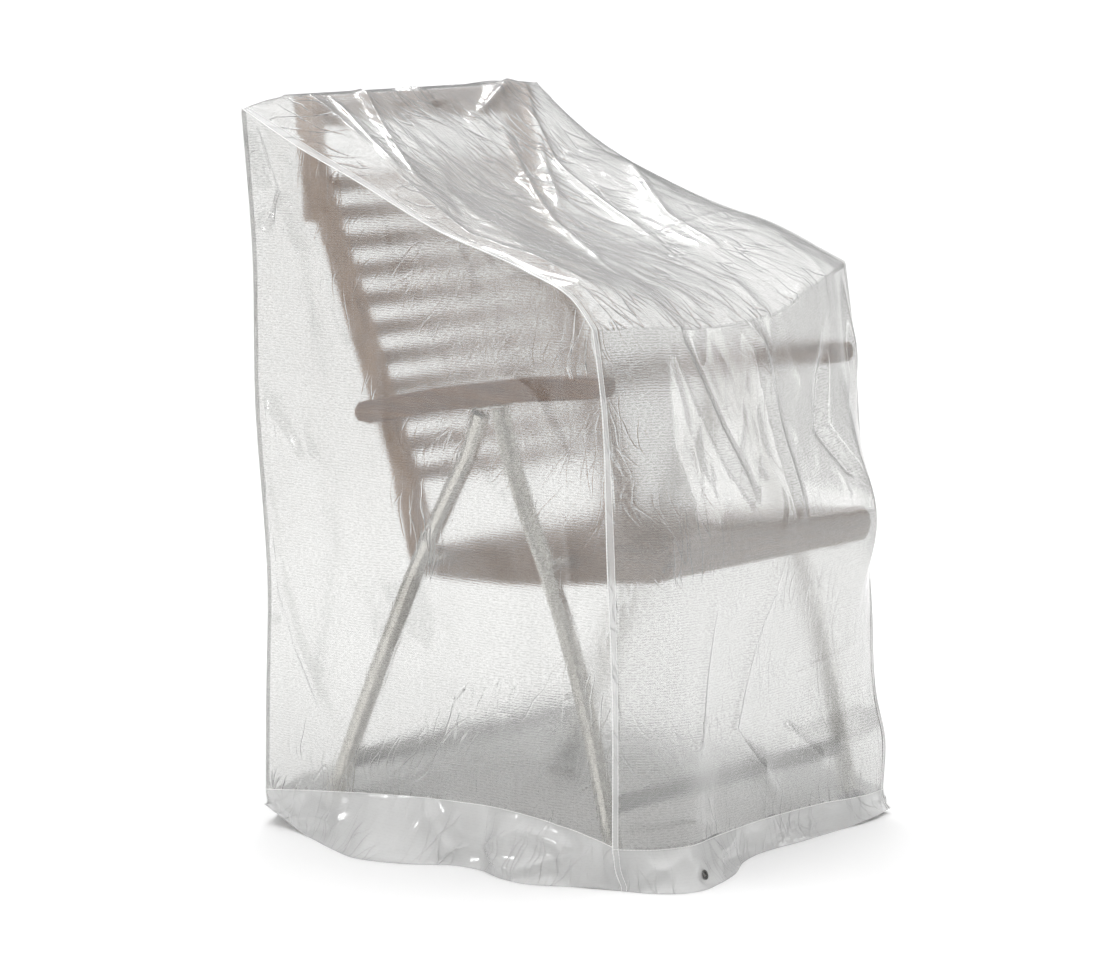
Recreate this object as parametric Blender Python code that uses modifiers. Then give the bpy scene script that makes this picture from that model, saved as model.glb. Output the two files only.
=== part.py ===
"""A clear fitted cover of woven film standing over a high-backed folding armchair.

The chair is plain: teak stiles, slats, seat and arms on curved steel legs. The cover is one wrap strip, which runs up
the back, over the top rail, down the slope and down the front, with a side panel sewn to each of its edges.
X runs across the chair, its front faces -Y, and it stands on z = 0.
"""

import math

import bpy
import numpy as np
from mathutils import Matrix, Vector

NAME = "folding_chair_cover"

# Driving sizes, in metres. The chair's middle is x = 0 until everything is moved together at the end.
GAP = 0.0003  # left between pieces that touch
CLOTH = 0.0012  # thickness of the film and its coating

STILE_FACE = 0.2430  # outer face of a back stile, from the middle
STILE_THICK = 0.024
SEAT_RAIL_THICK = 0.024
ARM_MIDDLE = 0.2750
ARM_WIDTH = 0.042
LEG_MIDDLE = 0.2750
LEG_RADIUS = 0.0132
CROSS_RADIUS = 0.0120
FOOT_RADIUS, FOOT_HEIGHT = 0.0180, 0.0360
SLAT_COUNT, SLAT_PITCH, SLAT_LOWEST = 11, 0.0403, 0.5210  # pitch and lowest height, measured upright
SLAT_TALL, SLAT_DEEP = 0.0215, 0.0140
BACK_LEAN = math.atan(0.409)
SEAT_SLATS, SEAT_SLAT_WIDE, SEAT_SLAT_THICK = 6, 0.0460, 0.0140

# Outlines in the side plane, each point as (depth y, height z).
STILE_OUTLINE = (
    (0.133, 0.402), (0.1745, 0.534), (0.314, 0.872), (0.345, 0.962), (0.354, 1.048), (0.360, 1.0515),
    (0.388, 1.0515), (0.3905, 1.046), (0.375, 0.935), (0.372, 0.874), (0.347, 0.872), (0.2095, 0.534), (0.172, 0.402),
)
SEAT_RAIL_OUTLINE = (
    (0.178, 0.420), (0.014, 0.432), (-0.094, 0.446), (-0.200, 0.463), (-0.262, 0.466), (-0.2640, 0.416),
    (-0.252, 0.411), (-0.165, 0.401), (-0.050, 0.386), (0.014, 0.381), (0.148, 0.378), (0.170, 0.386),
)
FRONT_RAIL_OUTLINE = (
    (-0.2643, 0.468), (-0.281, 0.467), (-0.290, 0.458), (-0.292, 0.446), (-0.289, 0.432), (-0.280, 0.420),
    (-0.2643, 0.416),
)
ARM_TOP = (
    (0.228, 0.619), (0.221, 0.629), (0.200, 0.6345), (0.090, 0.657), (-0.073, 0.684), (-0.190, 0.695), (-0.206, 0.694),
    (-0.212, 0.687),
)
ARM_BOTTOM = (
    (-0.212, 0.674), (-0.206, 0.667), (-0.190, 0.6645), (-0.073, 0.652), (0.090, 0.624), (0.200, 0.6005),
    (0.221, 0.603), (0.228, 0.609),
)

# Routes of the leg tubes' middles, from the bracket under the arm to the foot.
FRONT_LEG = (
    (-0.0235, 0.6380), (-0.0445, 0.5640), (-0.0745, 0.4930), (-0.1090, 0.4220), (-0.1370, 0.3530), (-0.1630, 0.2810),
    (-0.1880, 0.2000), (-0.2110, 0.1040), (-0.2230, 0.0580), (-0.2250, 0.0470), (-0.2250, 0.0363),
)
REAR_LEG = (
    (0.0105, 0.6272), (0.0330, 0.5700), (0.0620, 0.5200), (0.0980, 0.4580), (0.1430, 0.3730), (0.1870, 0.2810),
    (0.2350, 0.1780), (0.2700, 0.0950), (0.2860, 0.0580), (0.2890, 0.0470), (0.2890, 0.0363),
)
FOOT_AHEAD = 0.0070  # a foot's middle stands this far beyond the end of its tube
FRONT_CROSS = (-0.2110, 0.1030)
REAR_CROSS = (0.2670, 0.1050)
FRONT_BOLT = (-0.1060, 0.4260)
REAR_BOLT = (0.1180, 0.4090)
ARM_SPACER = (0.2080, 0.6160)

# The cover's four upright seams stand at x = +-SEAM. Each row is (height z, depth y).
SEAM = 0.310
BACK_LEFT = ((0.051, 0.392), (0.184, 0.390), (0.346, 0.385), (0.620, 0.406), (0.835, 0.409), (1.036, 0.428))
FRONT_LEFT = ((0.060, -0.252), (0.264, -0.251), (0.440, -0.242), (0.680, -0.229), (0.764, -0.215))
FRONT_RIGHT = (
    (0.040, -0.262), (0.120, -0.264), (0.170, -0.250), (0.317, -0.238), (0.427, -0.227), (0.551, -0.215),
    (0.710, -0.199), (0.809, -0.185),
)
BACK_RIGHT = ((0.050, 0.400), (0.300, 0.397), (0.620, 0.405), (0.900, 0.414), (1.040, 0.430))
# The seams down the slope, from the back corner to the front one: (depth y, height z).
LEFT_SLOPE = (
    (0.428, 1.036), (0.314, 0.983), (0.216, 0.945), (0.059, 0.881), (-0.100, 0.834), (-0.181, 0.800), (-0.215, 0.764),
)
RIGHT_SLOPE = ((0.430, 1.040), (0.272, 0.959), (0.218, 0.939), (0.006, 0.872), (-0.025, 0.866), (-0.185, 0.809))
# The edges where the strip turns, from left to right: (across x, depth y, height z).
BACK_EDGE = (
    (-0.310, 0.428, 1.036), (-0.245, 0.413, 1.050), (-0.100, 0.412, 1.046), (0.100, 0.412, 1.050),
    (0.245, 0.413, 1.055), (0.310, 0.430, 1.040),
)
FRONT_EDGE = (
    (-0.310, -0.215, 0.764), (-0.240, -0.238, 0.763), (-0.120, -0.243, 0.753), (0.000, -0.243, 0.753),
    (0.080, -0.238, 0.759), (0.170, -0.226, 0.786), (0.245, -0.212, 0.804), (0.310, -0.185, 0.809),
)
# The fold above the hem, along each wall: (across x, depth y, height z).
LEFT_FOLD = (
    (-0.310, 0.392, 0.051), (-0.322, 0.276, 0.067), (-0.316, 0.076, 0.084), (-0.322, -0.098, 0.088),
    (-0.314, -0.225, 0.068), (-0.310, -0.252, 0.060),
)
FRONT_FOLD = (
    (-0.310, -0.252, 0.060), (-0.272, -0.290, 0.058), (-0.225, -0.306, 0.056), (-0.120, -0.288, 0.052),
    (0.000, -0.272, 0.050), (0.150, -0.270, 0.048), (0.262, -0.272, 0.042), (0.310, -0.262, 0.040),
)
RIGHT_FOLD = (
    (0.310, 0.400, 0.050), (0.318, 0.280, 0.066), (0.314, 0.100, 0.060), (0.321, -0.100, 0.066), (0.310, -0.262, 0.040),
)
BACK_FOLD = (
    (-0.310, 0.392, 0.051), (-0.160, 0.405, 0.066), (0.000, 0.398, 0.058), (0.170, 0.408, 0.064), (0.310, 0.400, 0.050),
)
# The hem's edge on the floor. Its last column is how far the edge is lifted there.
LEFT_HEM = (
    (-0.312, 0.394, 0.030), (-0.318, 0.345, 0.012), (-0.334, 0.290, 0.000), (-0.372, 0.205, 0.000),
    (-0.391, 0.150, 0.000), (-0.374, 0.072, 0.000), (-0.336, 0.005, 0.000), (-0.334, -0.030, 0.000),
    (-0.356, -0.095, 0.000), (-0.359, -0.135, 0.000), (-0.330, -0.200, 0.000), (-0.306, -0.264, 0.000),
)
FRONT_HEM = (
    (-0.306, -0.264, 0.000), (-0.290, -0.310, 0.000), (-0.263, -0.340, 0.000), (-0.239, -0.348, 0.000),
    (-0.185, -0.341, 0.000), (-0.130, -0.324, 0.000), (-0.060, -0.288, 0.000), (-0.020, -0.277, 0.000),
    (0.095, -0.276, 0.000), (0.200, -0.274, 0.000), (0.262, -0.276, 0.004), (0.330, -0.262, 0.006),
)
RIGHT_HEM = (
    (0.320, 0.408, 0.000), (0.345, 0.300, 0.000), (0.352, 0.150, 0.000), (0.338, 0.020, 0.000), (0.350, -0.100, 0.000),
    (0.338, -0.200, 0.002), (0.330, -0.262, 0.006),
)
BACK_HEM = (
    (-0.312, 0.394, 0.030), (-0.250, 0.424, 0.000), (-0.100, 0.446, 0.000), (0.000, 0.432, 0.000),
    (0.150, 0.448, 0.000), (0.270, 0.428, 0.000), (0.320, 0.408, 0.000),
)
HEM_FLAT = 0.012  # how much of the hem lies flat on the floor

# Main folds. Each row is a line over a wall, from one place to another in that wall's own two directions, then how
# far it stands out (minus sinks in) and its half width.
FRONT_FOLDS = (  # across x, height z
    (-0.160, 0.745, -0.098, 0.611, 0.010, 0.022),
    (-0.098, 0.611, -0.040, 0.507, 0.008, 0.020),
    (0.027, 0.718, 0.062, 0.490, 0.009, 0.022),
    (-0.130, 0.393, -0.185, 0.163, 0.010, 0.026),
    (0.019, 0.416, -0.076, 0.188, 0.011, 0.026),
    (-0.076, 0.188, 0.047, 0.068, 0.010, 0.024),
    (0.057, 0.175, 0.155, 0.101, -0.009, 0.022),
    (0.194, 0.696, 0.154, 0.586, -0.009, 0.024),
    (0.154, 0.586, 0.205, 0.520, -0.005, 0.022),
)
LEFT_FOLDS = (  # depth y, height z
    (0.420, 1.000, 0.373, 0.922, -0.010, 0.024),
    (0.401, 0.548, 0.322, 0.280, 0.011, 0.026),
    (0.322, 0.280, 0.236, 0.145, 0.010, 0.026),
    (0.392, 0.621, 0.300, 0.528, 0.007, 0.024),
    (0.040, 0.330, 0.020, 0.170, 0.008, 0.030),
    (-0.150, 0.640, -0.200, 0.300, 0.006, 0.028),
)
RIGHT_FOLDS = (
    (0.400, 0.900, 0.300, 0.620, 0.009, 0.028),
    (0.180, 0.800, 0.060, 0.420, -0.007, 0.032),
    (-0.060, 0.700, -0.140, 0.380, 0.008, 0.028),
    (0.250, 0.380, 0.180, 0.150, 0.009, 0.030),
    (-0.020, 0.260, -0.120, 0.120, 0.008, 0.028),
)
BACK_FOLDS = (  # across x, height z
    (-0.240, 0.980, -0.140, 0.620, 0.009, 0.030),
    (-0.120, 0.520, -0.170, 0.140, 0.011, 0.032),
    (0.230, 0.980, 0.120, 0.560, 0.009, 0.030),
    (0.060, 0.460, 0.110, 0.130, -0.010, 0.032),
)
SLOPE_FOLDS = (  # across x, depth y
    (-0.225, 0.350, -0.268, 0.120, 0.008, 0.020),
    (-0.268, 0.120, -0.270, -0.130, 0.009, 0.022),
    (-0.200, 0.330, -0.060, 0.080, -0.007, 0.024),
    (0.215, 0.350, 0.020, 0.060, 0.008, 0.024),
    (0.120, 0.340, 0.035, 0.290, -0.006, 0.020),
    (0.270, -0.012, -0.030, -0.017, -0.006, 0.020),
    (0.230, -0.160, 0.080, -0.215, 0.006, 0.018),
)

STRIP_BELOW_FOLD = 0.0060  # the strip gives way to the front hem this far under the fold
EYELET_COLUMN = 4  # the eyelet is let into the front hem's lower row of facets, after this column
EYELET_ALONG, EYELET_UP = 0.50, 0.50  # its place in that facet
EYELET_HOLE, EYELET_BARREL, EYELET_FLANGE, EYELET_CLOTH_HOLE = 0.0046, 0.0052, 0.0070, 0.0057  # radii
EYELET_GROOVE, EYELET_RIM = 0.0020, 0.0008
EYELET_STEPS = 16
RESTS_AT = 1.0530  # height of the film's middle where it lies over the stile tops

FILM = ((0.86, 0.86, 0.85), 0.25, 0.0)
TEAK = ((0.36, 0.22, 0.12), 0.55, 0.0)
STEEL = ((0.62, 0.62, 0.60), 0.30, 1.0)
PLASTIC = ((0.22, 0.22, 0.21), 0.55, 0.0)


def collection(name):
    """A new collection under the scene's own."""
    made = bpy.data.collections.new(name)
    bpy.context.scene.collection.children.link(made)
    return made


def finish(ob, look):
    """Puts an object in the part's collection, under its root, with a material of its own."""
    for old in list(ob.users_collection):
        old.objects.unlink(ob)
    PARTS.objects.link(ob)
    ob.parent = ROOT
    colour, roughness, metallic = look
    mat = bpy.data.materials.new(ob.name)
    mat.use_nodes = True
    shader = mat.node_tree.nodes["Principled BSDF"]
    shader.inputs["Base Color"].default_value = (*colour, 1.0)
    shader.inputs["Roughness"].default_value = roughness
    shader.inputs["Metallic"].default_value = metallic
    ob.data.materials.append(mat)
    return ob


def bevel(ob, width, segments=1):
    """Rounds an object's edges."""
    mod = ob.modifiers.new("rounded", "BEVEL")
    mod.width = width
    mod.segments = segments
    mod.limit_method = "ANGLE"
    mod.angle_limit = math.radians(60)
    mod.loop_slide = False  # the inset corners stay off the caps' own diagonals


def board(name, middle, size, look, lean=0.0, rounding=0.002):
    """A plain board: a box of the given size about its middle, leaning back about X."""
    bpy.ops.mesh.primitive_cube_add(size=1.0, location=middle, rotation=(lean, 0.0, 0.0))
    ob = bpy.context.object
    ob.name = name
    ob.data.transform(Matrix.Diagonal((*size, 1.0)))
    bevel(ob, rounding)
    return finish(ob, look)


def plate(name, outline, x, thickness, look, rounding=0.002):
    """A flat outline in the side plane, given its thickness about x."""
    curve = bpy.data.curves.new(name, "CURVE")
    curve.dimensions = "2D"
    curve.fill_mode = "BOTH"
    curve.extrude = thickness / 2
    spline = curve.splines.new("POLY")
    spline.points.add(len(outline) - 1)
    for point, (y, z) in zip(spline.points, outline):
        point.co = (y, z, 0.0, 1.0)
    spline.use_cyclic_u = True
    ob = bpy.data.objects.new(name, curve)
    ob.location = (x, 0.0, 0.0)
    ob.rotation_euler = (math.pi / 2, 0.0, math.pi / 2)  # the curve's own x and y become the chair's y and z
    weld = ob.modifiers.new("joined", "WELD")
    weld.merge_threshold = 0.00001
    bevel(ob, rounding)
    return finish(ob, look)


def tube(name, points, radius, look):
    """A round tube through the points, closed at its ends."""
    curve = bpy.data.curves.new(name, "CURVE")
    curve.dimensions = "3D"
    curve.bevel_depth = radius
    curve.bevel_resolution = 3
    curve.use_fill_caps = True
    spline = curve.splines.new("POLY")
    spline.points.add(len(points) - 1)
    for point, place in zip(spline.points, points):
        point.co = (*place, 1.0)
    return finish(bpy.data.objects.new(name, curve), look)


def pin(name, start, end, radius, look):
    """A short round bar from start to end, both on a line across the chair."""
    length = abs(end[0] - start[0])
    middle = [(a + b) / 2 for a, b in zip(start, end)]
    bpy.ops.mesh.primitive_cylinder_add(
        vertices=16, radius=radius, depth=length, location=middle, rotation=(0.0, math.pi / 2, 0.0)
    )
    ob = bpy.context.object
    ob.name = name
    return finish(ob, look)


def chair_back():
    """Two stiles with the top rail and the slats between them."""
    inside = STILE_FACE - STILE_THICK - GAP
    for side, sign in (("left", -1), ("right", 1)):
        plate(f"{side}_stile", STILE_OUTLINE, sign * (STILE_FACE - STILE_THICK / 2), STILE_THICK, TEAK, 0.0015)
    board("top_rail", (0.0, 0.3690, 1.0280), (2 * inside, 0.0180, 0.0440), TEAK, -0.10, 0.003)
    for n in range(SLAT_COUNT):
        z = SLAT_LOWEST + n * SLAT_PITCH
        y = 0.1870 + (z - SLAT_LOWEST) * math.tan(BACK_LEAN)
        board(f"back_slat_{n + 1:02d}", (0.0, y, z), (2 * inside, SLAT_DEEP, SLAT_TALL), TEAK, -BACK_LEAN, 0.003)


def chair_seat():
    """Two side rails, a rounded front rail and the slats that lie between them."""
    inside = STILE_FACE - STILE_THICK - GAP
    rail_middle = inside - SEAT_RAIL_THICK / 2
    for side, sign in (("left", -1), ("right", 1)):
        plate(f"{side}_seat_rail", SEAT_RAIL_OUTLINE, sign * rail_middle, SEAT_RAIL_THICK, TEAK, 0.0015)
    plate("front_seat_rail", FRONT_RAIL_OUTLINE, 0.0, 2 * (STILE_FACE - 0.012), TEAK, 0.0015)
    between = inside - SEAT_RAIL_THICK - GAP
    for n in range(SEAT_SLATS):
        y = 0.1350 - n * 0.0680
        z = 0.4150 + max(0.0, 0.135 - y) * 0.112
        lean = -math.atan(0.112)
        board(f"seat_slat_{n + 1}", (0.0, y, z), (2 * between, SEAT_SLAT_WIDE, SEAT_SLAT_THICK), TEAK, lean, 0.0025)


def chair_arms():
    """Each arm is a curved board, held to the stile by a spacer and to the leg tops by a bracket."""
    for side, sign in (("left", -1), ("right", 1)):
        arm = plate(f"{side}_arm", ARM_TOP + ARM_BOTTOM, sign * ARM_MIDDLE, ARM_WIDTH, TEAK, 0.004)
        arm.modifiers["rounded"].segments = 2
        inner = ARM_MIDDLE - ARM_WIDTH / 2 - GAP
        pin(f"{side}_arm_spacer", (sign * inner, *ARM_SPACER), (sign * (STILE_FACE + GAP), *ARM_SPACER), 0.009, STEEL)
        tilt = -math.atan((0.684 - 0.657) / 0.163)
        board(f"{side}_arm_bracket", (sign * ARM_MIDDLE, -0.006, 0.6384), (0.022, 0.066, 0.0030), STEEL, tilt, 0.0008)


def chair_legs():
    """A front and a rear tube on each side, joined across near the floor and bolted to the seat."""
    for side, sign in (("left", -1), ("right", 1)):
        for end, route, bolt in (("front", FRONT_LEG, FRONT_BOLT), ("rear", REAR_LEG, REAR_BOLT)):
            tube(f"{side}_{end}_leg", [(sign * LEG_MIDDLE, *place) for place in route], LEG_RADIUS, STEEL)
            inner = LEG_MIDDLE - LEG_RADIUS - GAP
            outer = STILE_FACE - STILE_THICK
            pin(f"{side}_{end}_leg_bolt", (sign * inner, *bolt), (sign * outer, *bolt), 0.0075, STEEL)
            depth = route[-1][0] + math.copysign(FOOT_AHEAD, route[-1][0])
            bpy.ops.mesh.primitive_cylinder_add(
                vertices=24, radius=FOOT_RADIUS, depth=FOOT_HEIGHT - GAP,
                location=(sign * LEG_MIDDLE, depth, (FOOT_HEIGHT - GAP) / 2),
            )
            foot = bpy.context.object
            foot.name = f"{side}_{end}_foot"
            bevel(foot, 0.002)
            finish(foot, PLASTIC)
    inner = LEG_MIDDLE - LEG_RADIUS - GAP
    for end, place in (("front", FRONT_CROSS), ("rear", REAR_CROSS)):
        tube(f"{end}_cross_tube", [(-inner, *place), (inner, *place)], CROSS_RADIUS, STEEL)


def through(points, at):
    """Points on a smooth curve through the given ones, at fractions of its length from end to end.

    Each span is the cubic that leaves each end along the line between that end's neighbours.
    """
    points = np.asarray(points, float)
    knots = np.concatenate([[0.0], np.cumsum(np.linalg.norm(np.diff(points, axis=0), axis=1))])
    slopes = np.gradient(points, knots, axis=0)
    at = np.asarray(at) * knots[-1]
    span = np.clip(np.searchsorted(knots, at, side="right") - 1, 0, len(knots) - 2)
    length = (knots[span + 1] - knots[span])[:, None]
    s = (at - knots[span])[:, None] / length
    here, there = points[span], points[span + 1]
    return (
        (1 + 2 * s) * (1 - s) ** 2 * here + s**2 * (3 - 2 * s) * there
        + length * (s * (1 - s) ** 2 * slopes[span] - s**2 * (1 - s) * slopes[span + 1])
    )


def post(table, x, rows):
    """An upright seam: the points at even heights, for row fractions from the fold to the top."""
    heights, depths = np.array(table).T
    z = heights[0] + rows * (heights[-1] - heights[0])
    y = through(np.column_stack([heights, depths]), (z - heights[0]) / (heights[-1] - heights[0]))[:, 1]
    return np.column_stack([np.full_like(z, x), y, z])


def patch(bottom, top, first, last, across, up):
    """A grid between four curves: the two ways of running straight between opposite curves are added, and the
    corners' own plane taken off."""
    u, v = across[None, :, None], up[:, None, None]
    sides = (1 - u) * first[:, None] + u * last[:, None]
    ends = (1 - v) * bottom[None] + v * top[None]
    corners = (1 - v) * ((1 - u) * bottom[0] + u * bottom[-1]) + v * ((1 - u) * top[0] + u * top[-1])
    return sides + ends - corners


def unit(vectors):
    """Vectors made of length one."""
    return vectors / np.linalg.norm(vectors, axis=-1, keepdims=True)


def normals(grid):
    """The unit normal at each grid point, from the lines to its neighbours along rows and columns."""
    return unit(np.cross(np.gradient(grid, axis=1), np.gradient(grid, axis=0)))


def fold(grid, axes, folds, outward):
    """Moves the grid out along ridges or in along troughs, each a soft hump about a line, and none at the edges."""
    flat = grid[:, :, axes]
    lift = np.zeros(grid.shape[:2])
    for x0, z0, x1, z1, height, width in folds:
        start, run = np.array((x0, z0)), np.array((x1 - x0, z1 - z0))
        along = np.clip((flat - start) @ run / (run @ run), 0, 1)
        away = np.linalg.norm(flat - start - along[..., None] * run, axis=2)
        lift += height * np.exp(-((away / width) ** 2))
    rows, columns = (np.linspace(0, 1, n) for n in lift.shape)
    held = np.minimum(1, 8 * np.minimum(rows, 1 - rows))[:, None] * np.minimum(1, 8 * np.minimum(columns, 1 - columns))
    return grid + (lift * held)[:, :, None] * normals(grid) * outward


def hump(value, middle, width):
    """One at the middle, falling smoothly to nothing a few widths away."""
    return np.exp(-(((value - middle) / width) ** 2))


def skirt(edge, crease, across):
    """The hem's rows, from the floor up to the fold: the edge, the line where it lifts off the floor and a slack
    middle row."""
    low = through(np.array(edge), across)
    high = through(np.array(crease), across)
    low[:, 2] = np.maximum(low[:, 2], 0.0) + CLOTH / 2 + 0.00005
    inward = high - low
    inward[:, 2] = 0
    reach = np.linalg.norm(inward, axis=1, keepdims=True)
    inward /= np.maximum(reach, 1e-9)
    lying = low + inward * np.minimum(HEM_FLAT, 0.45 * reach)
    lying[:, 2] += 0.0002
    middle = lying + 0.5 * (high - lying)
    middle[:, :2] += 0.10 * (low[:, :2] - high[:, :2])
    return np.stack([low, lying, middle]), high


ROWS = np.linspace(0, 1, 15)
ACROSS = np.concatenate([
    [0, 0.026, 0.070, 0.118], np.linspace(0.175, 0.825, 12), [0.882, 0.930, 0.974, 1],
])
DEPTH = np.array([
    0, 0.025, 0.055, 0.085, 0.115, 0.15, 0.20, 0.26, 0.33, 0.40, 0.47, 0.54, 0.61, 0.68, 0.75, 0.82, 0.88, 0.93, 0.965, 1,
])


def side_panel(sign):
    """A side panel's grid: rows from the hem to the sloping top, columns from back to front."""
    back, front, slope, crease, edge, folds = (
        (BACK_LEFT, FRONT_LEFT, LEFT_SLOPE, LEFT_FOLD, LEFT_HEM, LEFT_FOLDS) if sign < 0 else
        (BACK_RIGHT, FRONT_RIGHT, RIGHT_SLOPE, RIGHT_FOLD, RIGHT_HEM, RIGHT_FOLDS)
    )
    low, bottom = skirt(edge, crease, DEPTH)
    x = sign * SEAM
    top = through([(x, y, z) for y, z in slope], DEPTH)
    grid = patch(bottom, top, post(back, x, ROWS), post(front, x, ROWS), DEPTH, ROWS)
    y, z = grid[:, :, 1], grid[:, :, 2]
    inner = 0.0180 * hump(y, 0.120, 0.070) * hump(z, 0.410, 0.090)  # drawn in against the rear leg
    inner = inner + 0.0120 * hump(y, -0.190, 0.060) * hump(z, 0.240, 0.100)  # and the front one
    inner = inner + 0.0040 * np.sin(9.0 * y + 4.0) * hump(z, 0.55, 0.30)
    edges = np.minimum(1, 6 * np.minimum(DEPTH, 1 - DEPTH))[None] * np.minimum(1, 6 * np.minimum(ROWS, 1 - ROWS))[:, None]
    grid[:, :, 0] -= sign * inner * edges
    grid = fold(grid, [1, 2], folds, 1 if sign < 0 else -1)
    return np.concatenate([low, grid])


def front_wall():
    """The strip's front: rows from the hem up to the top fold, columns from left to right."""
    low, bottom = skirt(FRONT_HEM, FRONT_FOLD, ACROSS)
    grid = patch(
        bottom, through(FRONT_EDGE, ACROSS), post(FRONT_LEFT, -SEAM, ROWS), post(FRONT_RIGHT, SEAM, ROWS), ACROSS, ROWS
    )
    x, z = grid[:, :, 0], grid[:, :, 2]
    over_seat = np.clip((SEAM - np.abs(x)) / (SEAM - 0.238), 0, 1)
    pushed = -0.2975 - grid[:, :, 1]
    grid[:, :, 1] += np.minimum(pushed, 0) * over_seat * hump(z, 0.447, 0.110)
    grid[:, :, 1] -= 0.0130 * hump(x, 0.287, 0.016) * hump(z, 0.685, 0.060)  # passes in front of the right arm
    return low, fold(grid, [0, 2], FRONT_FOLDS, 1)


def back_wall():
    """The strip's back: rows from the hem up to the top edge, columns from left to right."""
    low, bottom = skirt(BACK_HEM, BACK_FOLD, ACROSS)
    grid = patch(
        bottom, through(BACK_EDGE, ACROSS), post(BACK_LEFT, -SEAM, ROWS), post(BACK_RIGHT, SEAM, ROWS), ACROSS, ROWS
    )
    return low, fold(grid, [0, 2], BACK_FOLDS, -1)


def slope_wall():
    """The strip's top: rows from the back edge to the front fold, columns from left to right."""
    left = through([(-SEAM, y, z) for y, z in LEFT_SLOPE], DEPTH)
    right = through([(SEAM, y, z) for y, z in RIGHT_SLOPE], DEPTH)
    grid = patch(through(BACK_EDGE, ACROSS), through(FRONT_EDGE, ACROSS), left, right, ACROSS, DEPTH)
    x, y, z = grid[:, :, 0], grid[:, :, 1], grid[:, :, 2]
    # Carried on the stile tops: a tent, level over them, that falls to the front and behind.
    fall = 0.66 + 0.10 * np.clip(x / 0.24, -1, 1)
    tent = RESTS_AT - fall * np.maximum(0.350 - y, 0) - 0.300 * np.maximum(y - 0.396, 0)
    sag = np.sin(np.pi * np.clip((0.338 - y) / 0.57, 0, 1)) * np.clip(1 - (x / 0.24) ** 2, 0, 1)
    carried = np.clip((SEAM - np.abs(x)) / (SEAM - 0.248), 0, 1)
    grid[1:-1, :, 2] += (np.maximum(tent - 0.012 * sag - z, 0) * carried)[1:-1]
    folded = fold(grid, [0, 1], SLOPE_FOLDS, 1)
    level = (np.abs(y - 0.370) < 0.040) & (np.abs(x) < 0.262)
    folded[level, 2] = tent[level]
    corner = level & (np.abs(x) > 0.225)
    folded[corner, 0] = np.copysign(STILE_FACE + 0.0045, x[corner])
    return folded


def sheet(name, grid, look, thickness=CLOTH):
    """A thin closed solid about a grid of points."""
    rows, columns = grid.shape[:2]
    index = np.arange(rows * columns).reshape(rows, columns)
    faces = np.stack([index[:-1, :-1], index[:-1, 1:], index[1:, 1:], index[1:, :-1]], axis=-1).reshape(-1, 4)
    mesh = bpy.data.meshes.new(name)
    mesh.from_pydata(grid.reshape(-1, 3).tolist(), [], faces.tolist())
    mesh.validate()
    ob = bpy.data.objects.new(name, mesh)
    solid = ob.modifiers.new("film", "SOLIDIFY")
    solid.thickness = thickness
    solid.offset = 0.0
    solid.use_even_offset = True
    return finish(ob, look)


def set_back(grid, side_normals, extra=0.00008):
    """Ends a strip's rows short of the side panels, by the gap and both half thicknesses."""
    for column, nearer in ((0, 1), (-1, -2)):
        run = unit(grid[:, nearer] - grid[:, column])
        square = np.abs(np.sum(run * side_normals[column], axis=1)).clip(0.5, 1.0)
        slant = np.sqrt(1 - square**2)
        grid[:, column] += run * ((CLOTH / 2 + GAP + extra + CLOTH / 2 * slant) / square)[:, None]
    return grid


def round_panel(values):
    """What a side panel holds along its seam: up its back, along its slope and down its front."""
    return np.concatenate([values[:-1, 0], values[-1], values[:-1, -1][::-1]])


def eyelet(hem):
    """A flanged ring clamped round a hole in the front hem. Its flanges clear both faces of the film."""
    corners = hem[-3:-1, EYELET_COLUMN:EYELET_COLUMN + 2].reshape(4, 3)
    upper = corners[0] + EYELET_ALONG * (corners[1] - corners[0])
    lower = corners[2] + EYELET_ALONG * (corners[3] - corners[2])
    middle = lower + EYELET_UP * (upper - lower)
    facing = unit(np.cross(corners[1] - corners[2], corners[3] - corners[0]))
    facing *= -np.sign(facing[1])
    turn = Vector(facing).to_track_quat("Z", "Y").to_matrix().to_4x4()
    g, h = EYELET_GROOVE / 2, EYELET_GROOVE / 2 + EYELET_RIM
    profile = [
        (EYELET_HOLE, h), (EYELET_FLANGE, h), (EYELET_FLANGE, g), (EYELET_BARREL, g),
        (EYELET_BARREL, -g), (EYELET_FLANGE, -g), (EYELET_FLANGE, -h), (EYELET_HOLE, -h),
    ]
    count = len(profile)
    mesh = bpy.data.meshes.new("eyelet")
    mesh.from_pydata([(r, 0, z) for r, z in profile], [(n, (n + 1) % count) for n in range(count)], [])
    ring = bpy.data.objects.new("eyelet", mesh)
    ring.matrix_world = Matrix.Translation(middle) @ turn
    screw = ring.modifiers.new("turned", "SCREW")
    screw.steps = screw.render_steps = EYELET_STEPS
    screw.use_merge_vertices = True
    screw.merge_threshold = 0.00001
    finish(ring, STEEL)
    bpy.ops.mesh.primitive_cylinder_add(vertices=16, radius=EYELET_CLOTH_HOLE, depth=0.012)
    cutter = bpy.context.object
    cutter.name = "eyelet_hole_cutter"
    cutter.matrix_world = Matrix.Translation(middle) @ turn
    for old in list(cutter.users_collection):
        old.objects.unlink(cutter)
    CUTTERS.objects.link(cutter)
    cutter.hide_render = True
    cutter.display_type = "WIRE"
    cutter.parent = ROOT
    return cutter


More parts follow.
